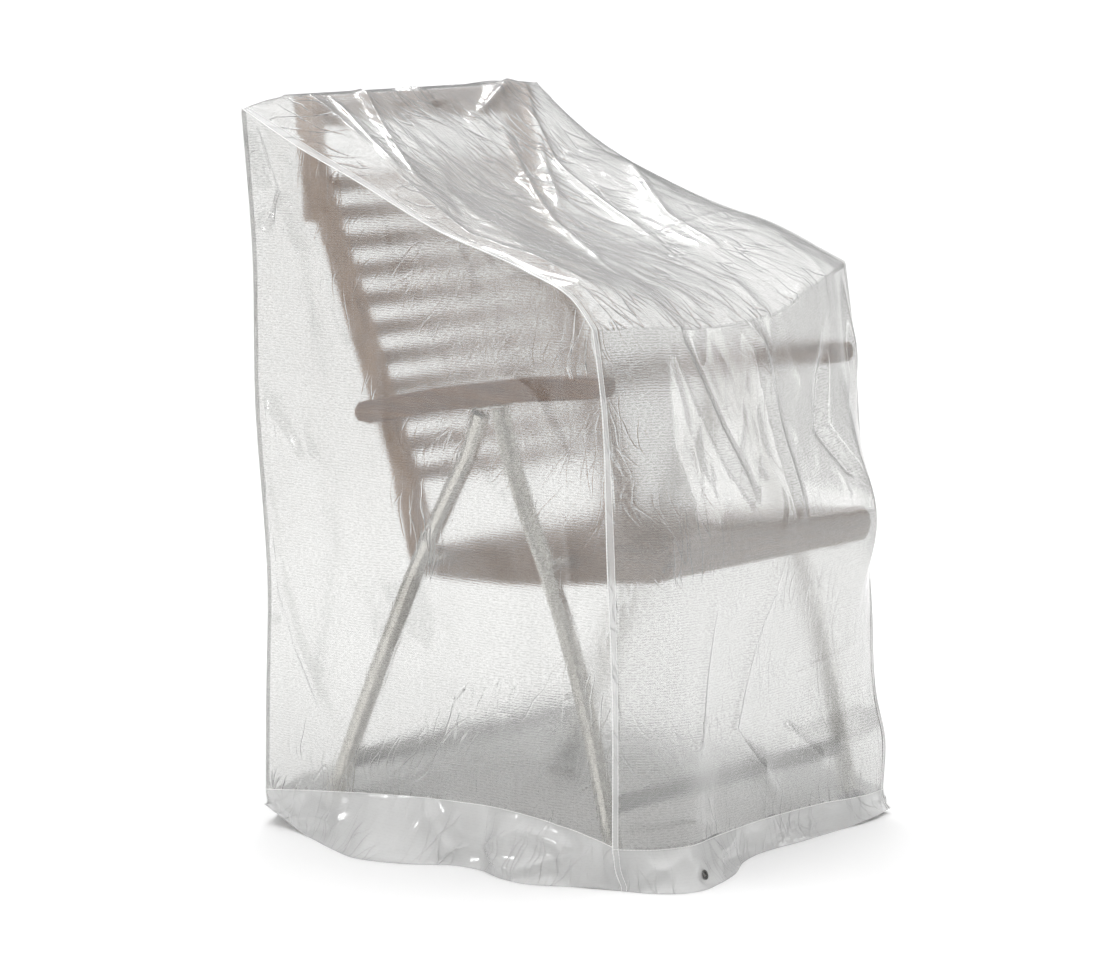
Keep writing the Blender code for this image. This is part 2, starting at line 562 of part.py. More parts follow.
def flatten(hem):
    """Brings the four corners round the eyelet into one plane."""
    rows, columns = slice(-3, -1), slice(EYELET_COLUMN, EYELET_COLUMN + 2)
    corners = hem[rows, columns]
    facing = unit(np.cross(corners[1, 1] - corners[0, 0], corners[1, 0] - corners[0, 1]))
    off = (corners - corners.mean(axis=(0, 1))) @ facing
    hem[rows, columns] = corners - off[:, :, None] * facing
    return hem


def build_cover():
    """The strip, the side panels, the front hem and its eyelet."""
    back_low, back = back_wall()
    front_low, front = front_wall()
    slope = slope_wall()
    below = front[0] + unit(front_low[-1] - front[0]) * STRIP_BELOW_FOLD
    hem_top = front[0] + unit(front_low[-1] - front[0]) * (STRIP_BELOW_FOLD + 2 * GAP)
    strip = np.concatenate([back_low, back, slope[1:-1], front[::-1], below[None]])
    hem = flatten(np.concatenate([hem_top[None], front_low[::-1]]))
    facing = {}
    for side, sign, column in (("left", -1, 0), ("right", 1, -1)):
        panel = side_panel(sign)
        sheet(f"{side}_panel", panel, FILM)
        facing[column] = round_panel(normals(panel))
    strip = set_back(strip, {c: n[:len(strip)] for c, n in facing.items()})
    sheet("wrap_strip", strip, FILM)
    hem = set_back(hem, {c: n[-len(hem):] for c, n in facing.items()}, 0.0016)
    hem_sheet = sheet("front_hem", hem, FILM)
    cut = hem_sheet.modifiers.new("eyelet hole", "BOOLEAN")
    cut.operation = "DIFFERENCE"
    cut.object = eyelet(hem)


def stand_on_origin():
    """Moves the whole part so that the middle of its box is over the origin."""
    graph = bpy.context.evaluated_depsgraph_get()
    places = []
    for ob in PARTS.objects:
        if ob.type in {"MESH", "CURVE"}:
            shown = ob.evaluated_get(graph)
            mesh = shown.to_mesh()
            own = np.empty(3 * len(mesh.vertices))
            mesh.vertices.foreach_get("co", own)
            turned = own.reshape(-1, 3) @ np.array(shown.matrix_world.to_3x3()).T
            places.append(turned + np.array(shown.matrix_world.translation))
            shown.to_mesh_clear()
    places = np.concatenate(places)
    middle = (places.min(axis=0) + places.max(axis=0)) / 2
    ROOT.location = (-middle[0], -middle[1], 0.0)


for old in list(bpy.data.objects):
    bpy.data.objects.remove(old, do_unlink=True)
PARTS = collection(NAME)
CUTTERS = collection("cutters")
ROOT = bpy.data.objects.new("root", None)
PARTS.objects.link(ROOT)

chair_back()
chair_seat()
chair_arms()
chair_legs()
build_cover()
stand_on_origin()
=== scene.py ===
import math

import bpy
import numpy as np
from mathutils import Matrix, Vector


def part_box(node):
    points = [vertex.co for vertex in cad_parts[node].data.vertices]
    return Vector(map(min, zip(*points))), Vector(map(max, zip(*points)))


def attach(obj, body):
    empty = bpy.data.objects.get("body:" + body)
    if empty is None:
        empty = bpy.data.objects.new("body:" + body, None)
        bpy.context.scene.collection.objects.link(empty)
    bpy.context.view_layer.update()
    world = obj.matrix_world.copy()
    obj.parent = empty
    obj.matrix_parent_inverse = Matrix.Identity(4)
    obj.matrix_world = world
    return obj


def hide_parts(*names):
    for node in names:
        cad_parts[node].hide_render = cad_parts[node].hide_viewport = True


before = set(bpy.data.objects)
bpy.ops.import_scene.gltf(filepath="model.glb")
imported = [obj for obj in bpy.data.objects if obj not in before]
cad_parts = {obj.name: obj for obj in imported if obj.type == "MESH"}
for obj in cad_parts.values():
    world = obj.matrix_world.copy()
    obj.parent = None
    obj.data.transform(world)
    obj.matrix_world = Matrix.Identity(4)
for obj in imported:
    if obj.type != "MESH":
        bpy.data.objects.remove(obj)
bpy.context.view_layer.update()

# A clear cover of woven film stands over a high-backed folding armchair of teak and steel. The chair's own middle is
# x = 0 and y = 0 in every table below, its front faces -Y, and MIDDLE is where that middle stands in the frame.
cross_low, cross_high = (np.array(corner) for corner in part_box("front_cross_tube"))
FRONT_CROSS_DEPTH = 0.211  # the front cross tube lies this far in front of the middle
MIDDLE = np.array([(cross_low[0] + cross_high[0]) / 2, (cross_low[1] + cross_high[1]) / 2 + FRONT_CROSS_DEPTH, 0.0])

# The view is from the front left corner with a long lens, a little above the seat.
AIM = MIDDLE + (-0.008, 0.101, 0.489)
VIEW_FROM, VIEW_UP, VIEW_DISTANCE = math.radians(-50.48), math.radians(8.21), 6.233
away = Vector((
    math.sin(VIEW_FROM) * math.cos(VIEW_UP), -math.cos(VIEW_FROM) * math.cos(VIEW_UP), math.sin(VIEW_UP),
))
lens = bpy.data.cameras.new("view")
lens.lens = 140.1
lens.sensor_width = 36.0
camera = bpy.data.objects.new("view", lens)
bpy.context.collection.objects.link(camera)
camera.location = Vector(AIM) + away * VIEW_DISTANCE
camera.rotation_euler = away.to_track_quat("Z", "Y").to_euler()
bpy.context.scene.camera = camera


# Oiled teak: the stiles, rails, slats and arms. Each is a plain board, planed and oiled, with its grain along its
# length, so one group draws the grain and each board gets its own direction and shade.
def material(name, roughness):
    """A new material, its nodes, its links' maker and its shader."""
    mat = bpy.data.materials.new(name)
    mat.use_nodes = True
    nodes = mat.node_tree.nodes
    shader = nodes["Principled BSDF"]
    shader.inputs["Roughness"].default_value = roughness
    return mat, nodes, mat.node_tree.links.new, shader


def group(name, inputs, outputs):
    """A new shader group with the named float, vector or colour sockets, and its own nodes."""
    tree = bpy.data.node_groups.new(name, "ShaderNodeTree")
    for side, sockets in (("INPUT", inputs), ("OUTPUT", outputs)):
        for label, kind in sockets:
            tree.interface.new_socket(label, in_out=side, socket_type=f"NodeSocket{kind}")
    start = tree.nodes.new("NodeGroupInput")
    end = tree.nodes.new("NodeGroupOutput")
    return tree, tree.nodes, tree.links.new, start.outputs, end.inputs


def maths(nodes, link, operation, first, second=None, clamp=False):
    """A Math node's output; each input is a socket or a number."""
    node = nodes.new("ShaderNodeMath")
    node.operation = operation
    node.use_clamp = clamp
    for socket, value in zip(node.inputs, (first, second)):
        if isinstance(value, (int, float)):
            socket.default_value = value
        elif value is not None:
            link(value, socket)
    return node.outputs[0]


def blend_colours(nodes, link, share, first, second):
    """A colour between two, by a share from 0 to 1."""
    node = nodes.new("ShaderNodeMix")
    node.data_type = "RGBA"
    for socket, value in ((node.inputs[0], share), (node.inputs[6], first), (node.inputs[7], second)):
        if isinstance(value, tuple):
            socket.default_value = (*value, 1.0)
        else:
            link(value, socket)
    return node.outputs[2]


grain, nodes, link, given, wanted = group(
    "grain", [("Place", "Vector"), ("Light", "Color"), ("Dark", "Color")],
    [("Colour", "Color"), ("Roughness", "Float"), ("Height", "Float")],
)
streaks = nodes.new("ShaderNodeTexNoise")
streaks.inputs["Scale"].default_value = 1.0
streaks.inputs["Detail"].default_value = 5.0
streaks.inputs["Roughness"].default_value = 0.62
streaks.inputs["Distortion"].default_value = 0.35
link(given["Place"], streaks.inputs["Vector"])
pores = nodes.new("ShaderNodeTexNoise")
pores.inputs["Scale"].default_value = 6.0
pores.inputs["Detail"].default_value = 2.0
link(given["Place"], pores.inputs["Vector"])
dark_share = maths(nodes, link, "MULTIPLY_ADD", streaks.outputs["Fac"], 2.2, True)
dark_share.node.inputs[2].default_value = -0.62
pore_share = maths(nodes, link, "GREATER_THAN", pores.outputs["Fac"], 0.62)
colour = blend_colours(nodes, link, dark_share, given["Light"], given["Dark"])
link(colour, wanted["Colour"])
rough = maths(nodes, link, "MULTIPLY_ADD", streaks.outputs["Fac"], 0.25)
rough.node.inputs[2].default_value = 0.40
link(rough, wanted["Roughness"])
sunk = maths(nodes, link, "MULTIPLY", pore_share, 0.3)
link(maths(nodes, link, "SUBTRACT", streaks.outputs["Fac"], sunk), wanted["Height"])


def teak(name, stretch, turn=(0.0, 0.0, 0.0), light=(0.300, 0.150, 0.052), dark=(0.150, 0.066, 0.020)):
    """Teak with its grain along the direction in which stretch is smallest, after a turn about the axes."""
    mat, nodes, link, shader = material(name, 0.5)
    place = nodes.new("ShaderNodeTexCoord")
    turned = nodes.new("ShaderNodeMapping")
    turned.inputs["Rotation"].default_value = turn
    turned.inputs["Scale"].default_value = stretch
    link(place.outputs["Object"], turned.inputs["Vector"])
    wood = nodes.new("ShaderNodeGroup")
    wood.node_tree = grain
    wood.inputs["Light"].default_value = (*light, 1.0)
    wood.inputs["Dark"].default_value = (*dark, 1.0)
    link(turned.outputs["Vector"], wood.inputs["Place"])
    link(wood.outputs["Colour"], shader.inputs["Base Color"])
    link(wood.outputs["Roughness"], shader.inputs["Roughness"])
    raised = nodes.new("ShaderNodeBump")
    raised.inputs["Strength"].default_value = 0.25
    raised.inputs["Distance"].default_value = 0.0006
    link(wood.outputs["Height"], raised.inputs["Height"])
    link(raised.outputs["Normal"], shader.inputs["Normal"])
    return mat


ALONG, ACROSS_GRAIN = 5.0, 90.0
across_teak = teak("teak_across", (ALONG, ACROSS_GRAIN, ACROSS_GRAIN))
deep_teak = teak("teak_deep", (ACROSS_GRAIN, ALONG, ACROSS_GRAIN), turn=(-0.17, 0.0, 0.0))
upright_teak = teak(
    "teak_upright", (ACROSS_GRAIN, ACROSS_GRAIN, ALONG), turn=(0.38, 0.0, 0.0), light=(0.430, 0.225, 0.085),
    dark=(0.240, 0.110, 0.034),
)
arm_teak = teak(
    "teak_arm", (ACROSS_GRAIN, ALONG, ACROSS_GRAIN), turn=(-0.17, 0.0, 0.0), light=(0.300, 0.125, 0.028),
    dark=(0.140, 0.052, 0.010),
)


def dress(names, look):
    """Gives CAD nodes a material in their own slots."""
    for name in names:
        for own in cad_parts[name].material_slots:
            own.material = look


dress(["top_rail", "front_seat_rail"], across_teak)
dress([f"back_slat_{n:02d}" for n in range(1, 12)], across_teak)
dress([f"seat_slat_{n}" for n in range(1, 7)], across_teak)
dress(["left_seat_rail", "right_seat_rail"], deep_teak)
dress(["left_stile", "right_stile"], upright_teak)
dress(["left_arm", "right_arm"], arm_teak)


# The frame's metal: steel tubes for the legs and their cross bars, with steel bolts, brackets and spacers. The tubes
# are brushed lengthwise, the cross bars are drawn in a darker steel, and moulded plastic feet are pushed on to the tube
# ends.
brushing, nodes, link, given, wanted = group(
    "brushing", [("Place", "Vector"), ("Dull", "Color"), ("Bright", "Color")],
    [("Colour", "Color"), ("Roughness", "Float")],
)
drawn = nodes.new("ShaderNodeMapping")
drawn.inputs["Scale"].default_value = (700.0, 700.0, 12.0)
link(given["Place"], drawn.inputs["Vector"])
scratches = nodes.new("ShaderNodeTexNoise")
scratches.inputs["Scale"].default_value = 1.0
scratches.inputs["Detail"].default_value = 3.0
link(drawn.outputs["Vector"], scratches.inputs["Vector"])
link(blend_colours(nodes, link, scratches.outputs["Fac"], given["Dull"], given["Bright"]), wanted["Colour"])
rough = maths(nodes, link, "MULTIPLY_ADD", scratches.outputs["Fac"], 0.22)
rough.node.inputs[2].default_value = 0.14
link(rough, wanted["Roughness"])


def brushed(name, dull, bright):
    """Steel drawn lengthwise between two shades. A grey specular tint paints its rim dark where it is seen edge on:
    painted shade that stands in for dark surroundings in its reflection.
    """
    mat, nodes, link, shader = material(name, 0.3)
    shader.inputs["Metallic"].default_value = 1.0
    # Painted shade: the grey tint darkens the steel's reflection at its rim.
    shader.inputs["Specular Tint"].default_value = (0.30, 0.30, 0.30, 1.0)
    place = nodes.new("ShaderNodeTexCoord")
    finish = nodes.new("ShaderNodeGroup")
    finish.node_tree = brushing
    finish.inputs["Dull"].default_value = (*dull, 1.0)
    finish.inputs["Bright"].default_value = (*bright, 1.0)
    link(place.outputs["Object"], finish.inputs["Place"])
    link(finish.outputs["Colour"], shader.inputs["Base Color"])
    link(finish.outputs["Roughness"], shader.inputs["Roughness"])
    return mat


steel = brushed("brushed_steel", (0.66, 0.635, 0.585), (0.88, 0.855, 0.80))
dark_steel = brushed("darker_steel", (0.22, 0.215, 0.21), (0.34, 0.335, 0.325))
dress(["eyelet"], dark_steel)
sides = ("left", "right")
dress([f"{s}_{e}_leg" for s in sides for e in ("front", "rear")], steel)
dress([f"{s}_{e}_leg_bolt" for s in sides for e in ("front", "rear")], steel)
dress([f"{s}_{part}" for s in sides for part in ("arm_bracket", "arm_spacer")], steel)
dress(["front_cross_tube", "rear_cross_tube"], dark_steel)

plastic, nodes, link, shader = material("moulded_plastic", 0.5)
specks = nodes.new("ShaderNodeTexNoise")
specks.inputs["Scale"].default_value = 400.0
place = nodes.new("ShaderNodeTexCoord")
link(place.outputs["Object"], specks.inputs["Vector"])
black = blend_colours(nodes, link, specks.outputs["Fac"], (0.10, 0.10, 0.095), (0.15, 0.15, 0.145))
link(black, shader.inputs["Base Color"])
raised = nodes.new("ShaderNodeBump")
raised.inputs["Strength"].default_value = 0.2
raised.inputs["Distance"].default_value = 0.0003
link(specks.outputs["Fac"], raised.inputs["Height"])
link(raised.outputs["Normal"], shader.inputs["Normal"])
dress([f"{s}_{e}_foot" for s in sides for e in ("front", "rear")], plastic)


# The cover's film: flat polyethylene tapes, woven and coated on both faces, so it is milky, glossy and a little rough
# to see through. Tapes run both ways, their edges show as fine lines, and the film creases like paper.
TAPE = 0.0039
RAISED = 0.0022
weave, nodes, link, given, wanted = group(
    "tape_weave", [("Film", "Vector"), ("Tape", "Float")], [("Edges", "Float"), ("Height", "Float")],
)
split = nodes.new("ShaderNodeSeparateXYZ")
link(given["Film"], split.inputs[0])
lines = []
for axis in ("X", "Y"):
    turns = maths(nodes, link, "DIVIDE", split.outputs[axis], given["Tape"])
    wave = maths(nodes, link, "SINE", maths(nodes, link, "MULTIPLY", turns, 2 * math.pi))
    lines.append(maths(nodes, link, "MULTIPLY_ADD", wave, 0.5))
    lines[-1].node.inputs[2].default_value = 0.5
stretched = nodes.new("ShaderNodeMapping")
stretched.inputs["Scale"].default_value = (170.0, 560.0, 1.0)
link(given["Film"], stretched.inputs["Vector"])
speckle = nodes.new("ShaderNodeTexNoise")
speckle.noise_dimensions = "2D"
speckle.inputs["Scale"].default_value = 1.0
speckle.inputs["Detail"].default_value = 0.0
link(stretched.outputs["Vector"], speckle.inputs["Vector"])
coarse = maths(nodes, link, "MULTIPLY_ADD", speckle.outputs["Fac"], 3.4, True)
coarse.node.inputs[2].default_value = -1.15
woven = maths(nodes, link, "ADD", maths(nodes, link, "MULTIPLY", lines[0], 0.35), lines[1])
edges = maths(nodes, link, "MULTIPLY", woven, coarse, True)
link(edges, wanted["Edges"])
link(maths(nodes, link, "MULTIPLY", edges, 0.014), wanted["Height"])

# Where the film is slack it is crumpled like paper: dished facets that meet in ridges, and thin sharp creases.
crumple, nodes, link, given, wanted = group("crumple", [("Film", "Vector"), ("Slack", "Float")], [("Height", "Float")])
wander = nodes.new("ShaderNodeTexNoise")
wander.noise_dimensions = "2D"
wander.inputs["Scale"].default_value = 13.0
wander.inputs["Detail"].default_value = 1.0
link(given["Film"], wander.inputs["Vector"])
swayed = nodes.new("ShaderNodeVectorMath")
swayed.operation = "MULTIPLY_ADD"
link(wander.outputs["Fac"], swayed.inputs[0])
swayed.inputs[1].default_value = (0.026, -0.012, 0.0)
link(given["Film"], swayed.inputs[2])


def laid(kind, turn, scale):
    """A flat texture node on the swayed film, turned and then stretched."""
    turned = nodes.new("ShaderNodeMapping")
    turned.inputs["Rotation"].default_value = (0.0, 0.0, turn)
    link(swayed.outputs[0], turned.inputs["Vector"])
    stretch = nodes.new("ShaderNodeMapping")
    stretch.inputs["Scale"].default_value = scale
    link(turned.outputs["Vector"], stretch.inputs["Vector"])
    made = nodes.new(kind)
    made.inputs["Scale"].default_value = 1.0
    link(stretch.outputs["Vector"], made.inputs["Vector"])
    return made


facets = laid("ShaderNodeTexVoronoi", 0.22, (38.0, 10.0, 1.0))
facets.voronoi_dimensions = "2D"
height = maths(nodes, link, "MULTIPLY", maths(nodes, link, "POWER", facets.outputs["Distance"], 2.0), 0.60)
net = laid("ShaderNodeTexVoronoi", 0.08, (46.0, 7.0, 1.0))
net.voronoi_dimensions = "2D"
net.feature = "DISTANCE_TO_EDGE"
waves = laid("ShaderNodeTexNoise", 0.50, (30.0, 7.0, 1.0))
waves.noise_dimensions = "2D"
waves.inputs["Detail"].default_value = 0.0
crossing = maths(nodes, link, "ABSOLUTE", maths(nodes, link, "SUBTRACT", waves.outputs["Fac"], 0.5))
for away, width, share in ((net.outputs["Distance"], 0.06, 0.34), (crossing, 0.030, 0.34)):
    ridge = maths(nodes, link, "SUBTRACT", 1.0, maths(nodes, link, "DIVIDE", away, width), True)
    height = maths(nodes, link, "ADD", height, maths(nodes, link, "MULTIPLY", ridge, share))
patchy = maths(nodes, link, "MULTIPLY_ADD", wander.outputs["Fac"], 3.0, True)
patchy.node.inputs[2].default_value = -0.95
height = maths(nodes, link, "MULTIPLY", height, maths(nodes, link, "MULTIPLY", patchy, given["Slack"]))
link(height, wanted["Height"])


def film_look(name, clear, roughness, slack=False, glossy=True, tint=(0.97, 0.97, 0.965), lines=(0.81, 0.81, 0.80)):
    """Woven film: mostly passes light, blurring it, with a milky share. The glossy kind has a coat over raised tapes,
    and the slack kind is crumpled too."""
    mat, nodes, link, shader = material(name, roughness)
    shader.inputs["Transmission Weight"].default_value = clear
    shader.inputs["IOR"].default_value = 1.45
    film = nodes.new("ShaderNodeUVMap")
    film.uv_map = "film"
    tapes = nodes.new("ShaderNodeGroup")
    tapes.node_tree = weave
    tapes.inputs["Tape"].default_value = TAPE
    link(film.outputs["UV"], tapes.inputs["Film"])
    link(blend_colours(nodes, link, tapes.outputs["Edges"], tint, lines), shader.inputs["Base Color"])
    if not glossy:
        return mat
    shader.inputs["Coat Weight"].default_value = 0.6
    shader.inputs["Coat Roughness"].default_value = 0.10
    shader.inputs["Coat IOR"].default_value = 1.5
    height = tapes.outputs["Height"]
    if slack:
        loose = nodes.new("ShaderNodeAttribute")
        loose.attribute_name = "slack"
        folded = nodes.new("ShaderNodeGroup")
        folded.node_tree = crumple
        link(film.outputs["UV"], folded.inputs["Film"])
        link(loose.outputs["Fac"], folded.inputs["Slack"])
        height = maths(nodes, link, "ADD", height, folded.outputs["Height"])
    raised = nodes.new("ShaderNodeBump")
    raised.inputs["Strength"].default_value = 1.0
    raised.inputs["Distance"].default_value = RAISED
    link(height, raised.inputs["Height"])
    link(raised.outputs["Normal"], shader.inputs["Normal"])
    return mat


film = film_look("woven_film", 0.92, 0.16, glossy=False, tint=(0.955, 0.955, 0.95), lines=(0.79, 0.79, 0.78))
side_film = film_look("side_film", 0.93, 0.16, slack=True, tint=(0.95, 0.95, 0.94))
# The slope's copy of the film is milkier and paler in tint than the rest of the same strip: painted light that makes
# the slope read lighter.
slope_film_painted_light = film_look("slope_film_painted_light", 0.89, 0.16, slack=True)
# The front's copy of the film is darker and hazier than the rest of the same strip: painted shade on the front wall.
front_film_painted_shade = film_look("front_film_painted_shade", 0.81, 0.16, slack=True, tint=(0.92, 0.92, 0.91), lines=(0.75, 0.75, 0.74))
doubled_film = film_look("doubled_film", 0.58, 0.20, slack=True, lines=(0.93, 0.93, 0.925))


# The side panels: film that closes each side of the cover. Each is cut with a sloping top and sewn to the wrap strip
# at x = +-SEAM. It gathers a little where it meets the legs, and its hem lies on the floor.
SEAM = 0.310
FILM_THICK = 0.0003
OFF_FLOOR = 0.0006

# The four upright seams, each row (height z, depth y).
BACK_LEFT = ((0.051, 0.392), (0.184, 0.390), (0.346, 0.385), (0.620, 0.406), (0.835, 0.409), (1.036, 0.428))
FRONT_LEFT = ((0.060, -0.252), (0.264, -0.251), (0.440, -0.242), (0.680, -0.229), (0.764, -0.215))
FRONT_RIGHT = (
    (0.040, -0.262), (0.120, -0.264), (0.170, -0.250), (0.317, -0.238), (0.427, -0.227), (0.551, -0.215),
    (0.710, -0.199), (0.809, -0.185),
)
BACK_RIGHT = ((0.050, 0.400), (0.300, 0.397), (0.620, 0.405), (0.900, 0.414), (1.040, 0.430))
# The seams down the slope, from the back corner to the front one: (depth y, height z).
LEFT_SLOPE = (
    (0.428, 1.036), (0.314, 0.983), (0.216, 0.945), (0.059, 0.881), (-0.100, 0.834), (-0.181, 0.800), (-0.215, 0.764),
)
RIGHT_SLOPE = ((0.430, 1.040), (0.272, 0.959), (0.218, 0.939), (0.006, 0.872), (-0.025, 0.866), (-0.185, 0.809))
# The fold above the hem, along each side: (across x, depth y, height z).
LEFT_FOLD = (
    (-0.310, 0.392, 0.051), (-0.322, 0.276, 0.067), (-0.316, 0.076, 0.084), (-0.322, -0.098, 0.088),
    (-0.314, -0.225, 0.068), (-0.310, -0.252, 0.060),
)
RIGHT_FOLD = (
    (0.310, 0.400, 0.050), (0.318, 0.280, 0.066), (0.314, 0.100, 0.060), (0.321, -0.100, 0.066), (0.310, -0.262, 0.040),
)
# The hem's edge on the floor, the last column its lift there.
LEFT_HEM = (
    (-0.312, 0.394, 0.030), (-0.318, 0.345, 0.012), (-0.334, 0.290, 0.000), (-0.372, 0.205, 0.000),
    (-0.391, 0.150, 0.000), (-0.374, 0.072, 0.000), (-0.336, 0.005, 0.000), (-0.334, -0.030, 0.000),
    (-0.356, -0.095, 0.000), (-0.359, -0.135, 0.000), (-0.330, -0.200, 0.000), (-0.306, -0.264, 0.000),
)
RIGHT_HEM = (
    (0.320, 0.408, 0.000), (0.345, 0.300, 0.000), (0.352, 0.150, 0.000), (0.338, 0.020, 0.000), (0.350, -0.100, 0.000),
    (0.338, -0.200, 0.002), (0.330, -0.262, 0.006),
)


def through(points, at):
    """Points on a smooth curve through the given ones, at fractions of its length from end to end. Each span is the
    cubic that leaves each end along the line between that end's neighbours."""
    points = np.asarray(points, float)
    knots = np.concatenate([[0.0], np.cumsum(np.linalg.norm(np.diff(points, axis=0), axis=1))])
    slopes = np.gradient(points, knots, axis=0)
    at = np.asarray(at) * knots[-1]
    span = np.clip(np.searchsorted(knots, at, side="right") - 1, 0, len(knots) - 2)
    length = (knots[span + 1] - knots[span])[:, None]
    s = (at - knots[span])[:, None] / length
    here, there = points[span], points[span + 1]
    return (
        (1 + 2 * s) * (1 - s) ** 2 * here + s**2 * (3 - 2 * s) * there
        + length * (s * (1 - s) ** 2 * slopes[span] - s**2 * (1 - s) * slopes[span + 1])
    )


def post(table, x, rows):
    """An upright seam: points at even heights, for row fractions from the fold to the top."""
    heights, depths = np.array(table).T
    z = heights[0] + rows * (heights[-1] - heights[0])
    y = through(np.column_stack([heights, depths]), (z - heights[0]) / (heights[-1] - heights[0]))[:, 1]
    return np.column_stack([np.full_like(z, x), y, z])


def patch(bottom, top, first, last, across, up):
    """A grid between four curves: the two ways of running straight between opposite curves are added, and the plane
    of the corners taken off."""
    u, v = across[None, :, None], up[:, None, None]
    sides = (1 - u) * first[:, None] + u * last[:, None]
    ends = (1 - v) * bottom[None] + v * top[None]
    corners = (1 - v) * ((1 - u) * bottom[0] + u * bottom[-1]) + v * ((1 - u) * top[0] + u * top[-1])
    return sides + ends - corners


def unit(vectors):
    """Vectors made of length one."""
    return vectors / np.maximum(np.linalg.norm(vectors, axis=-1, keepdims=True), 1e-12)


def normals(grid):
    """The unit normal at each grid point, from the lines to its neighbours along rows and columns."""
    return unit(np.cross(np.gradient(grid, axis=1), np.gradient(grid, axis=0)))


def hump(value, middle, width):
    """One at the middle, falling smoothly to nothing a few widths away."""
    return np.exp(-(((value - middle) / width) ** 2))


def creases(flat, table):
    """The lift of listed folds over a flat grid. Each row is a height, a width, a kind and a path of straight
    runs. A soft fold is a bell over the distance from its path, and a sharp one a peak with straight sides, a little
    rounded on top. Both run out towards the path's ends."""
    lift = np.zeros(flat.shape[:2])
    for height, width, kind, *path in table:
        path = np.asarray(path, float)
        runs = np.diff(path, axis=0)
        lengths = np.linalg.norm(runs, axis=1)
        away = np.full(flat.shape[:2], 9.0)
        along = np.zeros(flat.shape[:2])
        for start, run, length, offset in zip(path[:-1], runs, lengths, np.cumsum(lengths) - lengths):
            share = np.clip((flat - start) @ run / length**2, 0, 1)
            gap = np.linalg.norm(flat - start - share[..., None] * run, axis=2)
            along = np.where(gap < away, (offset + share * length) / lengths.sum(), along)
            away = np.minimum(gap, away)
        run_out = np.clip(6 * np.minimum(along, 1 - along) + 0.10, 0, 1)
        shape = np.exp(-((away / width) ** 2)) if kind == "soft" else np.exp(-(np.hypot(away, 0.0012) - 0.0012) / width)
        lift += height * run_out * shape
    return lift


def bowls(place, cell, turn, seed):
    """Chance creases. Jittered points stand one to a cell of a turned, stretched grid, and the value is the squared
    distance in cells to the nearest, so shallow bowls meet in sharp ridges. It lies between about 0 and 1."""
    spots = np.random.default_rng(seed).random((97, 89, 2))
    turned = place @ np.array([[math.cos(turn), -math.sin(turn)], [math.sin(turn), math.cos(turn)]])
    where = turned / np.asarray(cell)
    home = np.floor(where)
    nearest = np.full(where.shape[:-1], 9.0)
    for step in np.ndindex(3, 3):
        there = home + np.array(step) - 1
        index = there.astype(int) % (97, 89)
        off = there + spots[index[..., 0], index[..., 1]] - where
        nearest = np.minimum(nearest, (off**2).sum(axis=-1))
    return np.minimum(nearest, 1.0)


def drift(place, size, seed):
    """Smooth chance waves: a few sines of about one size, each with its own heading, added up to between -1 and 1."""
    chance = np.random.default_rng(seed)
    total = np.zeros(place.shape[:-1])
    for _ in range(7):
        heading = chance.random() * 2 * math.pi
        pitch = size * (0.6 + 0.9 * chance.random())
        run = place @ (math.cos(heading), math.sin(heading))
        total += np.sin(2 * math.pi * (run / pitch + chance.random()))
    return total / 4.0


def even(length, step):
    """Fractions from 0 to 1, spaced about a step apart over a length."""
    return np.linspace(0, 1, round(length / step) + 1)


def skirt(edge, crease, across, rows, seed, steepen):
    """The hem, from its edge on the floor up to the fold. It runs straight in plan and rises as a power of the
    distance, with slack waves in it. Row 0 is the edge."""
    low, high = through(edge, across)[None], through(crease, across)[None]
    t = np.linspace(0, 1, rows)[:-1, None, None]
    ground = low + (high - low) * t**0.9
    ground[:, :, 2] = low[:, :, 2] * (1 - t[:, :, 0]) + high[:, :, 2] * t[:, :, 0] ** steepen
    ground[:, :, 2] = np.maximum(ground[:, :, 2], 0.0) + 0.0005
    length = np.linalg.norm(np.diff(np.asarray(edge)[:, :2], axis=0), axis=1).sum()
    place = np.stack(np.broadcast_arrays(across[None, :] * length, t[:, :, 0] * 0.09), axis=-1)
    waves = 0.004 * drift(place, 0.16, seed) + 0.011 * (bowls(place, (0.07, 0.05), 0.3, seed) - 0.3)
    sway = np.sin(np.pi * t[:, :, 0]) * waves
    outward = unit((low - high) * (1, 1, 0))
    return ground + sway[:, :, None] * (outward + np.array([0, 0, 0.35]))


def metres(grid):
    """How far each grid point lies along its row and its column, in metres of film, averaged over the sheet."""
    across = np.linalg.norm(np.diff(grid, axis=1), axis=2).mean(axis=0)
    up = np.linalg.norm(np.diff(grid, axis=0), axis=2).mean(axis=1)
    u, v = (np.concatenate([[0.0], np.cumsum(steps)]) for steps in (across, up))
    return np.stack(np.meshgrid(u, v), axis=2)


def softened(grid, row, reach):
    """Rounds a grid where it turns at a row: the rows near it are each averaged with their neighbours, more so the
    nearer they are."""
    done = grid.copy()
    for n in range(max(1, row - reach), min(len(grid) - 1, row + reach + 1)):
        span = max(1, reach - abs(n - row))
        weights = np.exp(-np.linspace(-1.5, 1.5, 2 * span + 1) ** 2)
        rows = np.clip(np.arange(n - span, n + span + 1), 0, len(grid) - 1)
        done[n] = np.tensordot(weights / weights.sum(), grid[rows], axes=1)
    return done


def margins(rows, columns, across_reach, up_reach):
    """One inside a sheet, falling to nothing at its four edges over so many columns and rows."""
    u = np.minimum(np.arange(columns), np.arange(columns)[::-1]) / across_reach
    v = np.minimum(np.arange(rows), np.arange(rows)[::-1]) / up_reach
    return np.minimum(1, u)[None, :] * np.minimum(1, v)[:, None]


